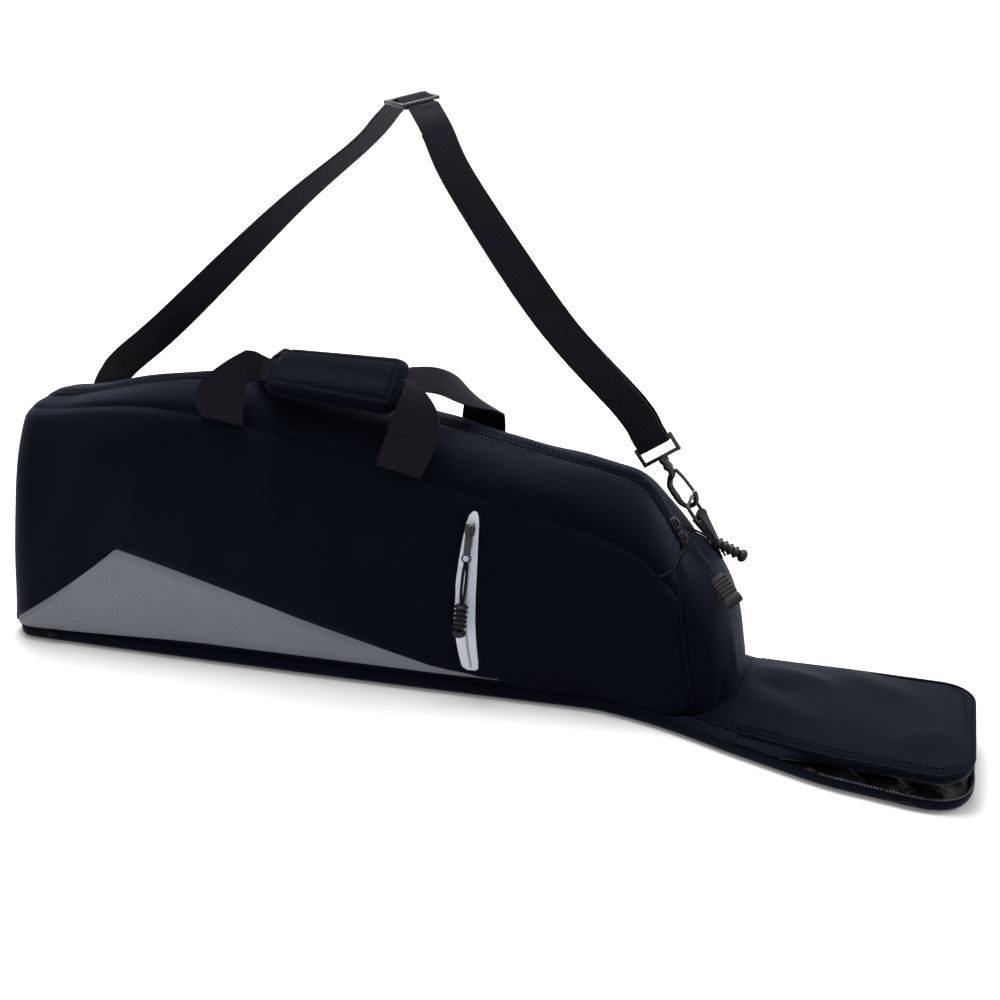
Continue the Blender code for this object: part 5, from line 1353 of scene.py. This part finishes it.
def folded_band(name, pairs, fold, look, nodes):
    """A flat band between two edges that turns sharply at one of their pairs of points."""
    edges = []
    for side in (0, 1):
        knots = [pair[side] for pair in pairs]
        edges.append(smooth_path(knots[:fold + 1], 9) + smooth_path(knots[fold:], 9)[1:])
    count = len(edges[0])
    shares = np.linspace(0.0, 1.0, RIBBON_COLUMNS)
    middle = [a.lerp(b, 0.5) for a, b in zip(*edges)]
    outer = np.zeros((count, RIBBON_COLUMNS, 3))
    inner = np.zeros((count, RIBBON_COLUMNS, 3))
    uv = np.zeros((count, RIBBON_COLUMNS, 2))
    gone = 0.0
    for k in range(count):
        along = middle[min(k + 1, count - 1)] - middle[max(k - 1, 0)]
        across = edges[1][k] - edges[0][k]
        out = across.cross(along).normalized()
        if k:
            gone += (middle[k] - middle[k - 1]).length
        for j, share in enumerate(shares):
            base = edges[0][k].lerp(edges[1][k], share)
            outer[k, j] = base + out * WEB / 2
            inner[k, j] = base - out * WEB / 2
            uv[k, j] = ((share - 0.5) * HANDLE_WEB, gone)
    return slab(name, outer, inner, uv, look, None, nodes)


def build_handles():
    for name, (way, foot_s, fold, bends) in FRONT_ARMS.items():
        mouth, across = mouth_at(way)
        feet = [skin(s, seam_v(s) + 0.001) for s in foot_s]
        sunk = [foot - skin_normal(s, seam_v(s)) * ARM_SINK - Vector((0, 0, ARM_SINK)) for foot, s in zip(feet, foot_s)]
        pairs = [tuple(sunk), tuple(feet)]
        pairs += [(spot(*first), spot(*second)) for first, second in bends]
        pairs += [(mouth - across * MOUTH_WEB / 2, mouth + across * MOUTH_WEB / 2)]
        arm = folded_band(name + "_webbing", pairs, fold + 2, "webbing", [name])
        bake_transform(arm)
    for name, (way, s, bends) in REAR_ARMS.items():
        middle, across = mouth_at(way)
        foot = seam_knot(s, WEB / 2 + 2 * GAP)
        normal = skin_normal(s, rear_seam_v(s))
        mouth = middle - across * (HANDLE_WEB / 2 - MOUTH_WEB / 2)
        level = (seam_knot(s + 0.01, 0.0) - seam_knot(s - 0.01, 0.0)).normalized()
        uphill = level.cross(normal).normalized()
        uphill *= math.copysign(1.0, uphill.z)
        knots = [foot - uphill * 0.007, foot + uphill * 0.002]
        knots += [spot(*bend) for bend in bends]
        knots += [mouth + Vector((way * MOUTH_LEAD, 0, 0)), mouth]
        path = smooth_path(knots, 12)
        rise = np.linspace(0, 1, len(path))
        widths = np.interp(rise, [0, 0.35, 0.65, 1], [HANDLE_WEB, HANDLE_WEB, 0.033, MOUTH_WEB])
        sides = twist_sides(path, level, across, 0.70, 0.08)
        arm = ribbon(name + "_webbing", path, sides, list(widths), "webbing", None, [name])
        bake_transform(arm)


def grip_ring(s, half_wide, half_thick, count):
    ring = []
    for i in range(count):
        angle = 2 * math.pi * i / count
        c, d = math.cos(angle), math.sin(angle)
        ring.append(grip_middle(s) + grip_across(s) * half_wide * math.copysign(abs(c) ** 0.6, c)
                    + grip_upright(s) * half_thick * math.copysign(abs(d) ** 0.8, d))
    return ring


def grip_relief(along, across, top):
    """Height of the pad's sewn border, its stitched groove and its soft crease."""
    ends = min(along - GRIP_START_S, GRIP_END_S - along)
    sides = GRIP_HALF_WIDTH - abs(across)
    edge = min(ends, sides)
    groove = -0.0015 * math.exp(-((edge - GRIP_BORDER) / 0.0016) ** 2)
    crease = -0.0018 * math.exp(-((across + 0.001 * math.sin(90 * along)) / 0.0045) ** 2) * min(edge / 0.02, 1.0)
    return groove + (crease if top else 0.0)


def build_grip():
    count = 72
    turn = 0.014
    stations = np.concatenate([np.linspace(GRIP_START_S, GRIP_START_S + turn, 14)[:-1],
                               np.linspace(GRIP_START_S + turn, GRIP_END_S - turn, 40),
                               np.linspace(GRIP_END_S - turn, GRIP_END_S, 14)[1:]])
    rings = []
    outline = []
    for s in stations:
        ends = min(s - GRIP_START_S, GRIP_END_S - s)
        drawn = turn - math.sqrt(max(turn ** 2 - max(turn - ends, 0.0) ** 2, 0.0))
        thin = 0.0045 * math.exp(-(ends / 0.006) ** 2)
        axis = grip_middle(s)
        upright = grip_upright(s)
        outline.append((axis, grip_across(s) * (GRIP_HALF_WIDTH - drawn)))
        shaped = []
        for point in grip_ring(s, GRIP_HALF_WIDTH - drawn, GRIP_HALF_THICK - thin, count):
            across = (point - axis).dot(grip_across(s))
            top = (point - axis).dot(upright) > 0
            relief = grip_relief(s, across, top)
            shaped.append(point + upright * relief * (1 if top else -1))
        rings.append(shaped)
    pad = loft("grip_pad", rings, "pad", "grip", ["grip_wrap", "grip_core"], sharp=60.0)
    edge = [axis + wide for axis, wide in outline]
    edge += [axis - wide for axis, wide in outline[::-1]]
    loft("grip_piping", tube_rings(edge, 0.0016, 10, closed=True), "pad", "grip", wrap_ends=True)
    low = [(s, GRIP_HALF_WIDTH - GRIP_BORDER) for s in np.linspace(GRIP_START_S + 0.016, GRIP_END_S - 0.016, 50)]
    line = []
    for s, across in low + [(s, -across) for s, across in low[::-1]] + low[:1]:
        share = abs(across) / GRIP_HALF_WIDTH
        height = GRIP_HALF_THICK * (1 - share ** (2 / 0.6)) ** 0.4 - 0.0010
        line.append(grip_middle(s) + grip_across(s) * across + grip_upright(s) * height)
    normals = [grip_upright(0.5 * (GRIP_START_S + GRIP_END_S))] * len(line)
    stitch_row("grip_stitches", line, normals, "grip")


# Shoulder strap

def frame_at(origin, along, side):
    """A matrix whose local Z runs along and whose local X is nearest to side."""
    z = Vector(along).normalized()
    x = Vector(side) - z * Vector(side).dot(z)
    x.normalize()
    y = z.cross(x)
    made = Matrix((x, y, z)).transposed().to_4x4()
    made.translation = Vector(origin)
    return made


def rounded_bar(at, start, end, wide, deep, corner):
    """Rings of a straight bar between two local points, rounded in section."""
    start = Vector(start)
    end = Vector(end)
    along = (end - start).normalized()
    side = Vector((0, 1, 0))
    flat = along.cross(side).normalized()
    outline = ring_outline([(-wide / 2, -deep / 2), (wide / 2, -deep / 2), (wide / 2, deep / 2), (-wide / 2, deep / 2)],
                           [corner] * 4, 3)
    rings = []
    length = (end - start).length
    for share, size in ((0.0, 0.8), (min(corner / length, 0.3), 1.0), (1 - min(corner / length, 0.3), 1.0), (1.0, 0.8)):
        middle = start.lerp(end, share)
        rings.append([at @ (middle + flat * p.x * size + side * p.y * size) for p in outline])
    return rings


def join_rings(name, groups, look, body, nodes):
    """One object from several lofted bodies."""
    verts = []
    faces = []
    for rings in groups:
        count = len(rings[0])
        base = len(verts)
        verts += [p for ring in rings for p in ring]
        faces += grid_faces(len(rings), count, base, wrap=True)
        faces.append(tuple(base + i for i in range(count))[::-1])
        tail = base + (len(rings) - 1) * count
        faces.append(tuple(tail + i for i in range(count)))
    return finish_piece(name, verts, faces, look, body, nodes)


def hook_path(turn):
    wide = HOOK_HALF_WIDTH
    high = HOOK_LENGTH
    low = -RING_WIRE - HOOK_WIRE - GAP - GAP / 3
    outline = [(0, high), (0, high - 0.010), (-wide * 0.55, high - 0.0145), (-wide, high - 0.021),
               (-wide, 0.010), (-wide * 0.92, 0.002), (-wide * 0.55, low * 0.72), (0, low),
               (wide * 0.55, low * 0.72), (wide * 0.92, 0.0015), (wide, 0.0062)]
    return [Matrix.Rotation(turn, 3, "Z") @ Vector((x, 0, z)) for x, z in outline]


def gate_path(turn):
    inner = HOOK_WIRE + GATE_WIRE + GAP
    outline = [(inner, HOOK_LENGTH - 0.008), (HOOK_HALF_WIDTH * 0.8, HOOK_LENGTH * 0.55), (HOOK_HALF_WIDTH, 0.0074)]
    return [Matrix.Rotation(turn, 3, "Z") @ Vector((x, 0, z)) for x, z in outline]


def build_hook(side, tip, lean, turn):
    at = frame_at(tip, (math.sin(lean), 0, math.cos(lean)), (1, 0, 0))
    path = smooth_path(hook_path(turn), 6)
    places = np.linspace(0.0, 1.0, len(path))
    radii = HOOK_WIRE * np.interp(places, [0.0, 0.1, 0.2, 0.42, 0.55, 1.0], [1.5, 1.5, 1.25, 1.35, 1.0, 1.0])
    loft(side + "_hook_cast", tube_rings([at @ p for p in path], list(radii), 16), "metal", side + "_hook",
         [side + "_hook"])
    gate = smooth_path(gate_path(turn), 8)
    loft(side + "_gate_cast", tube_rings([at @ p for p in gate], GATE_WIRE, 12), "metal", side + "_gate",
         [side + "_hook_gate"])
    ring_turn = Matrix.Rotation(turn, 3, "Z")
    corners = [(-RING_WIDTH / 2, -RING_HEIGHT / 2), (RING_WIDTH / 2, -RING_HEIGHT / 2),
               (RING_WIDTH / 2, RING_HEIGHT / 2), (-RING_WIDTH / 2, RING_HEIGHT / 2)]
    loop = ring_outline(corners, [0.004] * 4, 8)
    points = [at @ (ring_turn @ Vector((0, p.x, p.y - RING_HEIGHT / 2))) for p in loop]
    loft(side + "_ring_cast", tube_rings(points, RING_WIRE, 12, closed=True), "metal", side + "_ring",
         [side + "_ring"], wrap_ends=True)
    low = HOOK_LENGTH + GAP
    neck = low + FRAME_NECK
    half = FRAME_WIDTH / 2
    bar = FRAME_BAR
    top = neck + 1.5 * bar + FRAME_HEIGHT
    groups = [rounded_bar(at, (-half, 0, neck + bar / 2), (half, 0, neck + bar / 2), bar, bar, 0.001),
              rounded_bar(at, (-half, 0, top), (half, 0, top), bar, bar, 0.001),
              rounded_bar(at, (-half + bar / 2, 0, neck), (-half + bar / 2, 0, top + bar / 2), bar, bar * 1.1, 0.001),
              rounded_bar(at, (half - bar / 2, 0, neck), (half - bar / 2, 0, top + bar / 2), bar, bar * 1.1, 0.001)]
    barrel = [at @ Vector((0, 0, z)) for z in np.linspace(low - 0.0062, neck + 0.001, 12)]
    radii = [0.0034, 0.0046, 0.0048, 0.0048, 0.0044, 0.0040, 0.0040, 0.0046, 0.0050, 0.0050, 0.0046, 0.0036]
    groups.append(tube_rings(barrel, radii, 18))
    join_rings(side + "_swivel_cast", groups, "metal", "strap", [side + "_swivel_frame"])
    return at


def fold_round(at, axis, centre, radius, start, steps):
    points = []
    for k in range(steps + 1):
        angle = math.pi * k / steps
        points.append(at @ (Vector(centre) + Vector(start) * math.cos(angle) * radius
                            + Vector(axis) * math.sin(angle) * radius))
    return points


FOLD_RADIUS = FRAME_BAR / 2 * 1.45 + GAP + WEB / 2
LEFT_LEG = [(0.3605, 0.0194, 0.5150), (0.3300, 0.0360, 0.4850), (0.2520, 0.0400, 0.4200),
            (0.1240, 0.0530, 0.3010), (0.0600, 0.0720, 0.2480), (0.0380, 0.0830, 0.2250)]


def build_adjuster():
    at = frame_at(spot(*ADJUSTER_SPOT), ADJUSTER_ALONG, ADJUSTER_ACROSS)
    half = FRAME_WIDTH / 2
    pitch = ADJUSTER_BAR + ADJUSTER_SLOT
    reach = pitch + ADJUSTER_BAR / 2
    bar = FRAME_BAR
    groups = [rounded_bar(at, (-half, 0, z), (half, 0, z), ADJUSTER_BAR, ADJUSTER_THICK, 0.0009)
              for z in (-pitch, 0.0, pitch)]
    groups += [rounded_bar(at, (x, 0, -reach), (x, 0, reach), bar, ADJUSTER_THICK * 1.15, 0.0010)
               for x in (-half + bar / 2, half - bar / 2)]
    join_rings("adjuster_moulded", groups, "plastic", "strap", ["strap_adjuster"])
    return at


def build_strap():
    right = build_hook("right", RIGHT_HOOK_TIP, RIGHT_LEG_LEAN, 0.0)
    left = build_hook("left", LEFT_HOOK_TIP, 0.0, math.pi / 2)
    adjuster = build_adjuster()
    bar = (0, 0, HOOK_LENGTH + GAP + FRAME_NECK + 1.5 * FRAME_BAR + FRAME_HEIGHT)
    pitch = ADJUSTER_BAR + ADJUSTER_SLOT
    ride = ADJUSTER_THICK / 2 + GAP + WEB / 2

    def through(along, height):
        return adjuster @ Vector((0, -height, along))

    crossing = [(GAP / 2, ride), (0.0018, ride), (pitch - 0.0018, -ride), (pitch + 0.0018, -ride)]
    wide_x = (adjuster.to_3x3() @ Vector((1, 0, 0))).normalized()

    turn = fold_round(right, (0, 0, -1), bar, FOLD_RADIUS, (0, -1, 0), 14)
    side = (right.to_3x3() @ Vector((1, 0, 0))).normalized()
    leg_up = (right.to_3x3() @ Vector((0, 0, 1))).normalized()
    crown = spot(0.4190, -0.0270, 0.5120)
    high = spot(0.4440, -0.0290, 0.4640)
    middle = spot(0.5180, -0.0030, 0.3450)
    apart = Vector((-0.003, 0.0054, 0.0))
    threaded = smooth_path([through(-along, height) for along, height in crossing], 4)
    front_leg = smooth_path([through(-pitch - 0.005, -ride), crown, high, middle,
                             turn[0] + leg_up * 0.040, turn[0] + leg_up * 0.006], 14)
    back_leg = smooth_path([turn[-1] + leg_up * 0.006, turn[-1] + leg_up * 0.040, middle + apart,
                            high + apart, crown + apart * 1.1], 14)
    path = threaded + front_leg + turn + back_leg
    sides = [wide_x] * len(threaded) + twist_sides(front_leg, wide_x, side) + [side] * len(turn)
    sides += twist_sides(back_leg, side, wide_x)
    ribbon("strap_right_webbing", path, sides, [STRAP_WEB] * len(path), "webbing", "strap", ["strap_right_leg"])

    turn = fold_round(left, (0, 0, -1), bar, FOLD_RADIUS, (0, -1, 0), 14)
    threaded = smooth_path([through(along, height) for along, height in crossing], 4)
    leg = smooth_path([through(pitch + 0.005, -ride)] + [spot(*knot) for knot in LEFT_LEG]
                      + [turn[0] + Vector((0.002, 0, 0.016)), turn[0] + Vector((0, 0, 0.006))], 14)
    level = Vector((1, 0, 0))
    tail = smooth_path([turn[-1] + Vector((0, 0.0004, 0.006)), turn[-1] + Vector((0.003, 0.001, 0.020))], 6)
    path = threaded + leg + turn + tail
    sides = [wide_x] * len(threaded) + twist_sides(leg, wide_x, level) + [level] * (len(turn) + len(tail))
    ribbon("strap_left_webbing", path, sides, [STRAP_WEB] * len(path), "webbing", "strap", ["strap_left_leg"])
    build_tabs(right, left)


TAB_WEB = 0.022
TAB_CLEAR = 0.0012
LEFT_TAB_S = 0.027
LEFT_TAB_Z = (0.072, 0.084, 0.096)
RIGHT_TAB_TOP = (0.6650, 0.0235, 0.1300)
RIGHT_TAB_STEP = 0.0045
RIGHT_TAB_SINK = 0.0012       # each lower place is sewn this much deeper
TAB_TURNS = 12


def tab_round(name, node, at, turn, feet):
    """A tab folded round a ring's lower bar and sewn down along the feet."""
    bar = at @ Vector((0, 0, -RING_HEIGHT))
    near, out, _ = feet[-1]
    down = (near - bar).normalized()
    radius = RING_WIRE + 2 * GAP + WEB / 2
    side = (at.to_3x3() @ (Matrix.Rotation(turn, 3, "Z") @ Vector((0, 1, 0)))).normalized()
    side *= math.copysign(1.0, side.dot(feet[-1][2]))
    upper = side.cross(down).normalized()
    if upper.dot(out) < 0:
        upper = -upper
    path = [point + normal * (WEB / 2 + TAB_CLEAR) for point, normal, _ in feet]
    for k in range(TAB_TURNS + 1):
        angle = math.pi * k / TAB_TURNS
        path.append(bar - upper * math.cos(angle) * radius - down * math.sin(angle) * radius)
    apart = WEB + 4 * GAP
    lifts = [apart] * (len(feet) - 1) + [apart / max(out.dot(upper), 0.5)]
    path += [point + normal * (WEB / 2 + TAB_CLEAR + lift)
             for (point, normal, _), lift in zip(feet[::-1], lifts[::-1])]
    laid = [foot_side for _, _, foot_side in feet]
    sides = laid + [side] * (TAB_TURNS + 1) + laid[::-1]
    ribbon(name, path, sides, [TAB_WEB] * len(path), "webbing", "bag", [node])


def right_tab_feet(at):
    """Places on the right end panel under its ring, the lowest first, each with its facing and its side."""
    _, outer, normals, _ = right_end_surface(108, 140)
    side = at.to_3x3() @ Vector((0, 1, 0))
    aim = spot(*RIGHT_TAB_TOP)
    feet = []
    for k in range(3):
        gaps = np.linalg.norm(outer - np.array(tuple(aim)), axis=2)
        here = np.unravel_index(np.argmin(gaps), gaps.shape)
        point = Vector(outer[here])
        facing = Vector(normals[here])
        laid = (side - facing * side.dot(facing)).normalized()
        down = laid.cross(facing)
        down *= math.copysign(1.0, -down.z)
        feet.insert(0, (point - facing * (RIGHT_TAB_SINK * k), facing, laid))
        aim = point + down * RIGHT_TAB_STEP
    return feet


def build_tabs(right, left):
    tab_round("right_tab_webbing", "right_ring_tab", right, 0.0, right_tab_feet(right))
    feet = []
    for z in LEFT_TAB_Z:
        v = 1 - height_to_v(LEFT_TAB_S, z)
        feet.append((skin(LEFT_TAB_S, v), skin_normal(LEFT_TAB_S, v), Vector((1, 0, 0))))
    tab_round("left_tab_webbing", "left_ring_tab", left, math.pi / 2, feet)


# Sliders and pullers

def slider_groups(at, long, wide, high):
    """A zip slider: lower plate, raised waist, upper plate and the bridge that holds its puller."""
    groups = []
    outline = ring_outline([(-long / 2, -wide * 0.36), (long * 0.1, -wide / 2), (long / 2, -wide * 0.42),
                            (long / 2, wide * 0.42), (long * 0.1, wide / 2), (-long / 2, wide * 0.36)],
                           [wide * 0.22] * 6, 4)
    for low, top, size in ((0.0, high * 0.30, 1.0), (high * 0.30, high * 0.46, 0.7), (high * 0.46, high * 0.74, 0.96)):
        groups.append([[at @ Vector((p.x * size * k, p.y * size * k, z)) for p in outline]
                       for z, k in ((low, 0.94), (low + (top - low) * 0.3, 1.0), (low + (top - low) * 0.7, 1.0),
                                    (top, 0.94))])
    bridge = [Vector((long * x, 0, high * z)) for x, z in ((-0.34, 0.72), (-0.28, 0.92), (-0.1, 1.0), (0.1, 1.0),
                                                           (0.28, 0.92), (0.34, 0.72))]
    groups.append(tube_rings([at @ p for p in bridge], wide * 0.13, 10))
    return groups


def ribbed_grip_rings(start, along, length, radius, ribs):
    """A moulded grip with ribs that ends in a ball."""
    points = []
    radii = []
    steps = ribs * 8
    for k in range(steps + 1):
        share = k / steps
        points.append(start + along * (length * 0.72 * share))
        radii.append(radius * (0.80 + 0.18 * math.cos(2 * math.pi * ribs * share + math.pi)))
    for k in range(1, 12):
        angle = math.pi * k / 12
        points.append(start + along * (length * (0.86 - 0.14 * math.cos(angle))))
        radii.append(radius * max(math.sin(angle), 0.12))
    return tube_rings(points, radii, 20)


UPPER_PULL_END = (0.6997, 0.005, 0.133)
LOWER_PULL_END = (0.6980, -0.058, 0.116)
SLIDER = (0.012, 0.010, 0.005)
PULL_GRIP = 0.032
PULL_RADIUS = 0.0062
CORD_RADIUS = 0.0014


def zip_tail(run):
    bend = CREST_ARC_RADIUS * (CREST_END_ANGLE - CREST_SLOPE)
    s = CREST_ARC_S + (BODY_LENGTH - CREST_ARC_S) * (bend + run) / (bend + CREST_TAIL)
    return skin(s, 0.5), skin_normal(s, 0.5)


def flat_grip_groups(start, along, facing, length):
    """A flat moulded puller with stepped ribs on its sides."""
    out = (facing - along * facing.dot(along)).normalized()
    side = along.cross(out).normalized()
    groups = []
    wide = 0.0085
    deep = 0.0032
    steps = 5
    for k in range(steps):
        low = length * (0.10 + 0.62 * k / steps)
        high = low + length * 0.62 / steps * 0.72
        groups.append(flat_block(start, along, side, out, low, high, wide, deep))
    groups.append(flat_block(start, along, side, out, 0.0, length * 0.80, wide * 0.72, deep * 0.8))
    groups.append(flat_block(start, along, side, out, length * 0.74, length, wide * 1.02, deep * 1.05))
    return groups


def flat_block(start, along, side, out, low, high, wide, deep):
    outline = ring_outline([(-wide, -deep), (wide, -deep), (wide, deep), (-wide, deep)], [deep * 0.6] * 4, 4)
    ease = min((high - low) * 0.25, 0.0012)
    rings = []
    for z, size in ((low, 0.86), (low + ease, 1.0), (high - ease, 1.0), (high, 0.86)):
        rings.append([start + along * z + side * p.x * size + out * p.y * size for p in outline])
    return rings


def build_main_pullers():
    ride = 2 * GAP + 0.0016
    down = (zip_tail(CREST_TAIL - 0.002)[0] - zip_tail(0.002)[0]).normalized()
    ends = [("upper", UPPER_SLIDER_RUN, UPPER_PULL_END), ("lower", LOWER_SLIDER_RUN, LOWER_PULL_END)]
    for name, run, end in ends:
        foot, normal = zip_tail(run)
        at = frame_at(foot + normal * ride, normal, down)
        join_rings(name + "_slider_cast", slider_groups(at, *SLIDER), "metal", name + "_slider", [name + "_slider"])
        joint = foot + normal * (ride + SLIDER[2] + GAP + CORD_RADIUS) + down * 0.0035
        end = spot(*end)
        along = (end - joint).normalized()
        knot = end - along * PULL_GRIP
        side = along.cross(normal).normalized()
        loop = [joint + side * 0.0008, joint.lerp(knot, 0.4) + side * 0.0021, knot + side * 0.0016,
                knot + along * 0.002, knot - side * 0.0016, joint.lerp(knot, 0.4) - side * 0.0021,
                joint - side * 0.0008]
        loft(name + "_pull_loop", tube_rings(smooth_path(loop, 6), CORD_RADIUS * 0.72, 10), "webbing",
             name + "_pull", [name + "_pull_cord"])
        if name == "upper":
            loft("upper_pull_moulded", ribbed_grip_rings(knot, along, PULL_GRIP, PULL_RADIUS, 4), "rubber",
                 "upper_pull", ["upper_pull_grip"])
        else:
            join_rings("lower_pull_moulded", flat_grip_groups(knot, along, Vector((0.1, -0.9, 0.4)), PULL_GRIP),
                       "rubber", "lower_pull", ["lower_pull_grip"])


PULL_TAB = 0.024
POCKET_CORD = 0.040
POCKET_SLIDER_ASIDE = 0.005   # the bowed tape lies this far right of the plain line that the slider runs along


def build_pocket_puller():
    foot, normal = pocket_line(POCKET_SLIDER_Z, 0.0016 + GAP)
    foot.x += POCKET_SLIDER_ASIDE
    at = frame_at(foot, normal, (0, 0, 1))
    join_rings("pocket_slider_cast", slider_groups(at, *SLIDER), "metal", "pocket_slider", ["pocket_slider"])
    down = Vector((-0.065, -0.162, -1)).normalized()
    joint = foot + normal * (SLIDER[2] + 2 * GAP) + Vector((0, 0, -0.0050))
    out = (normal - down * normal.dot(down)).normalized()
    side = down.cross(out).normalized()
    groups = [flat_block(joint, down, side, out, -0.001, PULL_TAB * 0.75, 0.0033, 0.0009)]
    ring_middle = joint + down * (PULL_TAB * 0.86)
    ring = [ring_middle + side * 0.0040 * math.cos(a) + down * 0.0040 * math.sin(a)
            for a in np.linspace(0, 2 * math.pi, 25)[:-1]]
    join_rings("pocket_tab_cast", groups, "metal", "pocket_pull", ["pocket_pull_tab"])
    loft("pocket_pull_ring", tube_rings(ring, 0.0008, 10, closed=True), "metal", "pocket_pull", wrap_ends=True)
    start = ring_middle + down * 0.0030
    knot = joint + down * (PULL_TAB + GAP + POCKET_CORD)
    loop = [start + side * 0.0006, start.lerp(knot, 0.3) + side * 0.0017, start.lerp(knot, 0.75) + side * 0.0016,
            knot + down * 0.002, start.lerp(knot, 0.75) - side * 0.0016, start.lerp(knot, 0.3) - side * 0.0017,
            start - side * 0.0006]
    loft("pocket_pull_loop", tube_rings(smooth_path(loop, 8), CORD_RADIUS, 10), "webbing", "pocket_pull",
         ["pocket_pull_cord"])
    loft("pocket_pull_moulded", ribbed_grip_rings(knot, down, PULL_GRIP, PULL_RADIUS * 1.1, 5), "rubber",
         "pocket_pull", ["pocket_pull_grip"])


SLEEVE_SLIDER_S = 0.735
CORNER_TAB_S = 0.030


def build_small_pieces():
    t = float(lookup(TRAY_BACK_T, SLEEVE_SLIDER_S))
    foot = place(SLEEVE_SLIDER_S, t - 0.0008, TRAY_WALL_Z + 0.0015)
    at = frame_at(foot, (0, 0, 1), (1, -DRIFT_SLOPE, 0))
    join_rings("sleeve_slider_cast", slider_groups(at, 0.012, 0.0056, 0.0028), "metal", "sleeve_slider",
               ["sleeve_slider"])
    corner = frame_at(place(CORNER_TAB_S, -float(lookup(TRAY_FRONT_T, 0.0)) - GAP, 0.008), (0, -1, 0), (1, 0, 0))
    path = [corner @ Vector((-0.0045 + 0.009 * k / 8, 0, 0.0012 + 0.0012 * math.sin(math.pi * k / 8)))
            for k in range(9)]
    ribbon("corner_tab_webbing", path, [corner.to_3x3() @ Vector((0, 1, 0))] * 9, [0.007] * 9, "webbing", "bag",
           ["corner_tab"], thick=0.0014)


# Stage

def build_camera():
    back = Vector((math.sin(CAMERA_AZIMUTH) * math.cos(CAMERA_ELEVATION),
                   -math.cos(CAMERA_AZIMUTH) * math.cos(CAMERA_ELEVATION), math.sin(CAMERA_ELEVATION)))
    data = bpy.data.cameras.new("camera")
    data.sensor_width = 36.0
    data.lens = CAMERA_LENS
    data.shift_x, data.shift_y = CAMERA_SHIFT
    made = bpy.data.objects.new("camera", data)
    made.location = Vector(CAMERA_TARGET) + back * CAMERA_DISTANCE
    made.rotation_euler = back.to_track_quat("Z", "Y").to_euler()
    bpy.context.collection.objects.link(made)
    bpy.context.scene.camera = made


def area_light(name, location, target, size, power):
    data = bpy.data.lights.new(name, "AREA")
    data.shape = "SQUARE"
    data.size = size
    data.energy = power
    made = bpy.data.objects.new(name, data)
    made.location = location
    made.rotation_euler = (Vector(location) - Vector(target)).to_track_quat("Z", "Y").to_euler()
    bpy.context.collection.objects.link(made)


def camera_share(tree):
    path = add_node(tree, "ShaderNodeLightPath")
    seen = math_node(tree, "MAXIMUM", path.outputs["Is Camera Ray"], path.outputs["Is Glossy Ray"])
    return math_node(tree, "MAXIMUM", seen, path.outputs["Is Transmission Ray"])


WORLD_LIGHT = 0.36
NEAR_GLOW = 0.07
FAR_GLOW = 0.75


def build_stage():
    world = bpy.data.worlds.new("studio")
    bpy.context.scene.world = world
    world.use_nodes = True
    tree = world.node_tree
    background = tree.nodes["Background"]
    background.inputs["Color"].default_value = (1.0, 1.0, 1.0, 1.0)
    seen = camera_share(tree)
    strength = math_node(tree, "ADD", WORLD_LIGHT, math_node(tree, "MULTIPLY", seen, 1.0 - WORLD_LIGHT))
    tree.links.new(strength, background.inputs["Strength"])

    mesh = bpy.data.meshes.new("floor")
    half = 14.0
    mesh.from_pydata([(-half, -half, 0), (half, -half, 0), (half, half, 0), (-half, half, 0)], [], [(0, 1, 2, 3)])
    floor = bpy.data.objects.new("floor", mesh)
    floor.location.z = -0.0005
    bpy.context.collection.objects.link(floor)
    made = bpy.data.materials.new("floor_white")
    made.use_nodes = True
    tree = made.node_tree
    shader = tree.nodes["Principled BSDF"]
    shader.inputs["Base Color"].default_value = (0.85, 0.85, 0.85, 1.0)
    shader.inputs["Roughness"].default_value = 0.9
    shader.inputs["Specular IOR Level"].default_value = 0.0
    shader.inputs["Emission Color"].default_value = (1.0, 1.0, 1.0, 1.0)
    source = add_node(tree, "ShaderNodeTexCoord")
    away = add_node(tree, "ShaderNodeVectorMath", {"operation": "LENGTH"}, {0: source.outputs["Object"]}).outputs["Value"]
    spread = add_node(tree, "ShaderNodeMapRange", {"interpolation_type": "SMOOTHSTEP"},
                      {"Value": away, "From Min": 0.55, "From Max": 1.9, "To Min": NEAR_GLOW, "To Max": FAR_GLOW})
    glow = math_node(tree, "MULTIPLY", camera_share(tree), spread.outputs["Result"])
    tree.links.new(glow, shader.inputs["Emission Strength"])
    mesh.materials.append(made)
    area_light("top_light", (-0.2, 0.5, 2.1), (0.0, 0.0, 0.1), 1.5, 84.0)
    area_light("front_light", (-1.2, -2.2, 1.5), (0.0, 0.0, 0.15), 1.4, 6.0)
    area_light("side_light", (2.0, 0.2, 1.3), (0.3, 0.0, 0.1), 1.0, 12.0)
    bpy.context.scene.view_settings.view_transform = "Standard"


def main():
    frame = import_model()
    make_looks()
    build_camera()
    build_stage()
    build_body()
    build_ends()
    build_tray()
    build_flap()
    build_flap_root()
    build_sleeve_lining()
    build_handles()
    build_grip()
    build_strap()
    build_main_pullers()
    build_pocket_puller()
    build_small_pieces()
    for name in ("compartment_floor", "pocket_lining"):
        frame["nodes"][name].data.materials[0] = LOOKS["lining"]
    frame["nodes"]["base_board"].data.materials[0] = LOOKS["plastic"]


main()
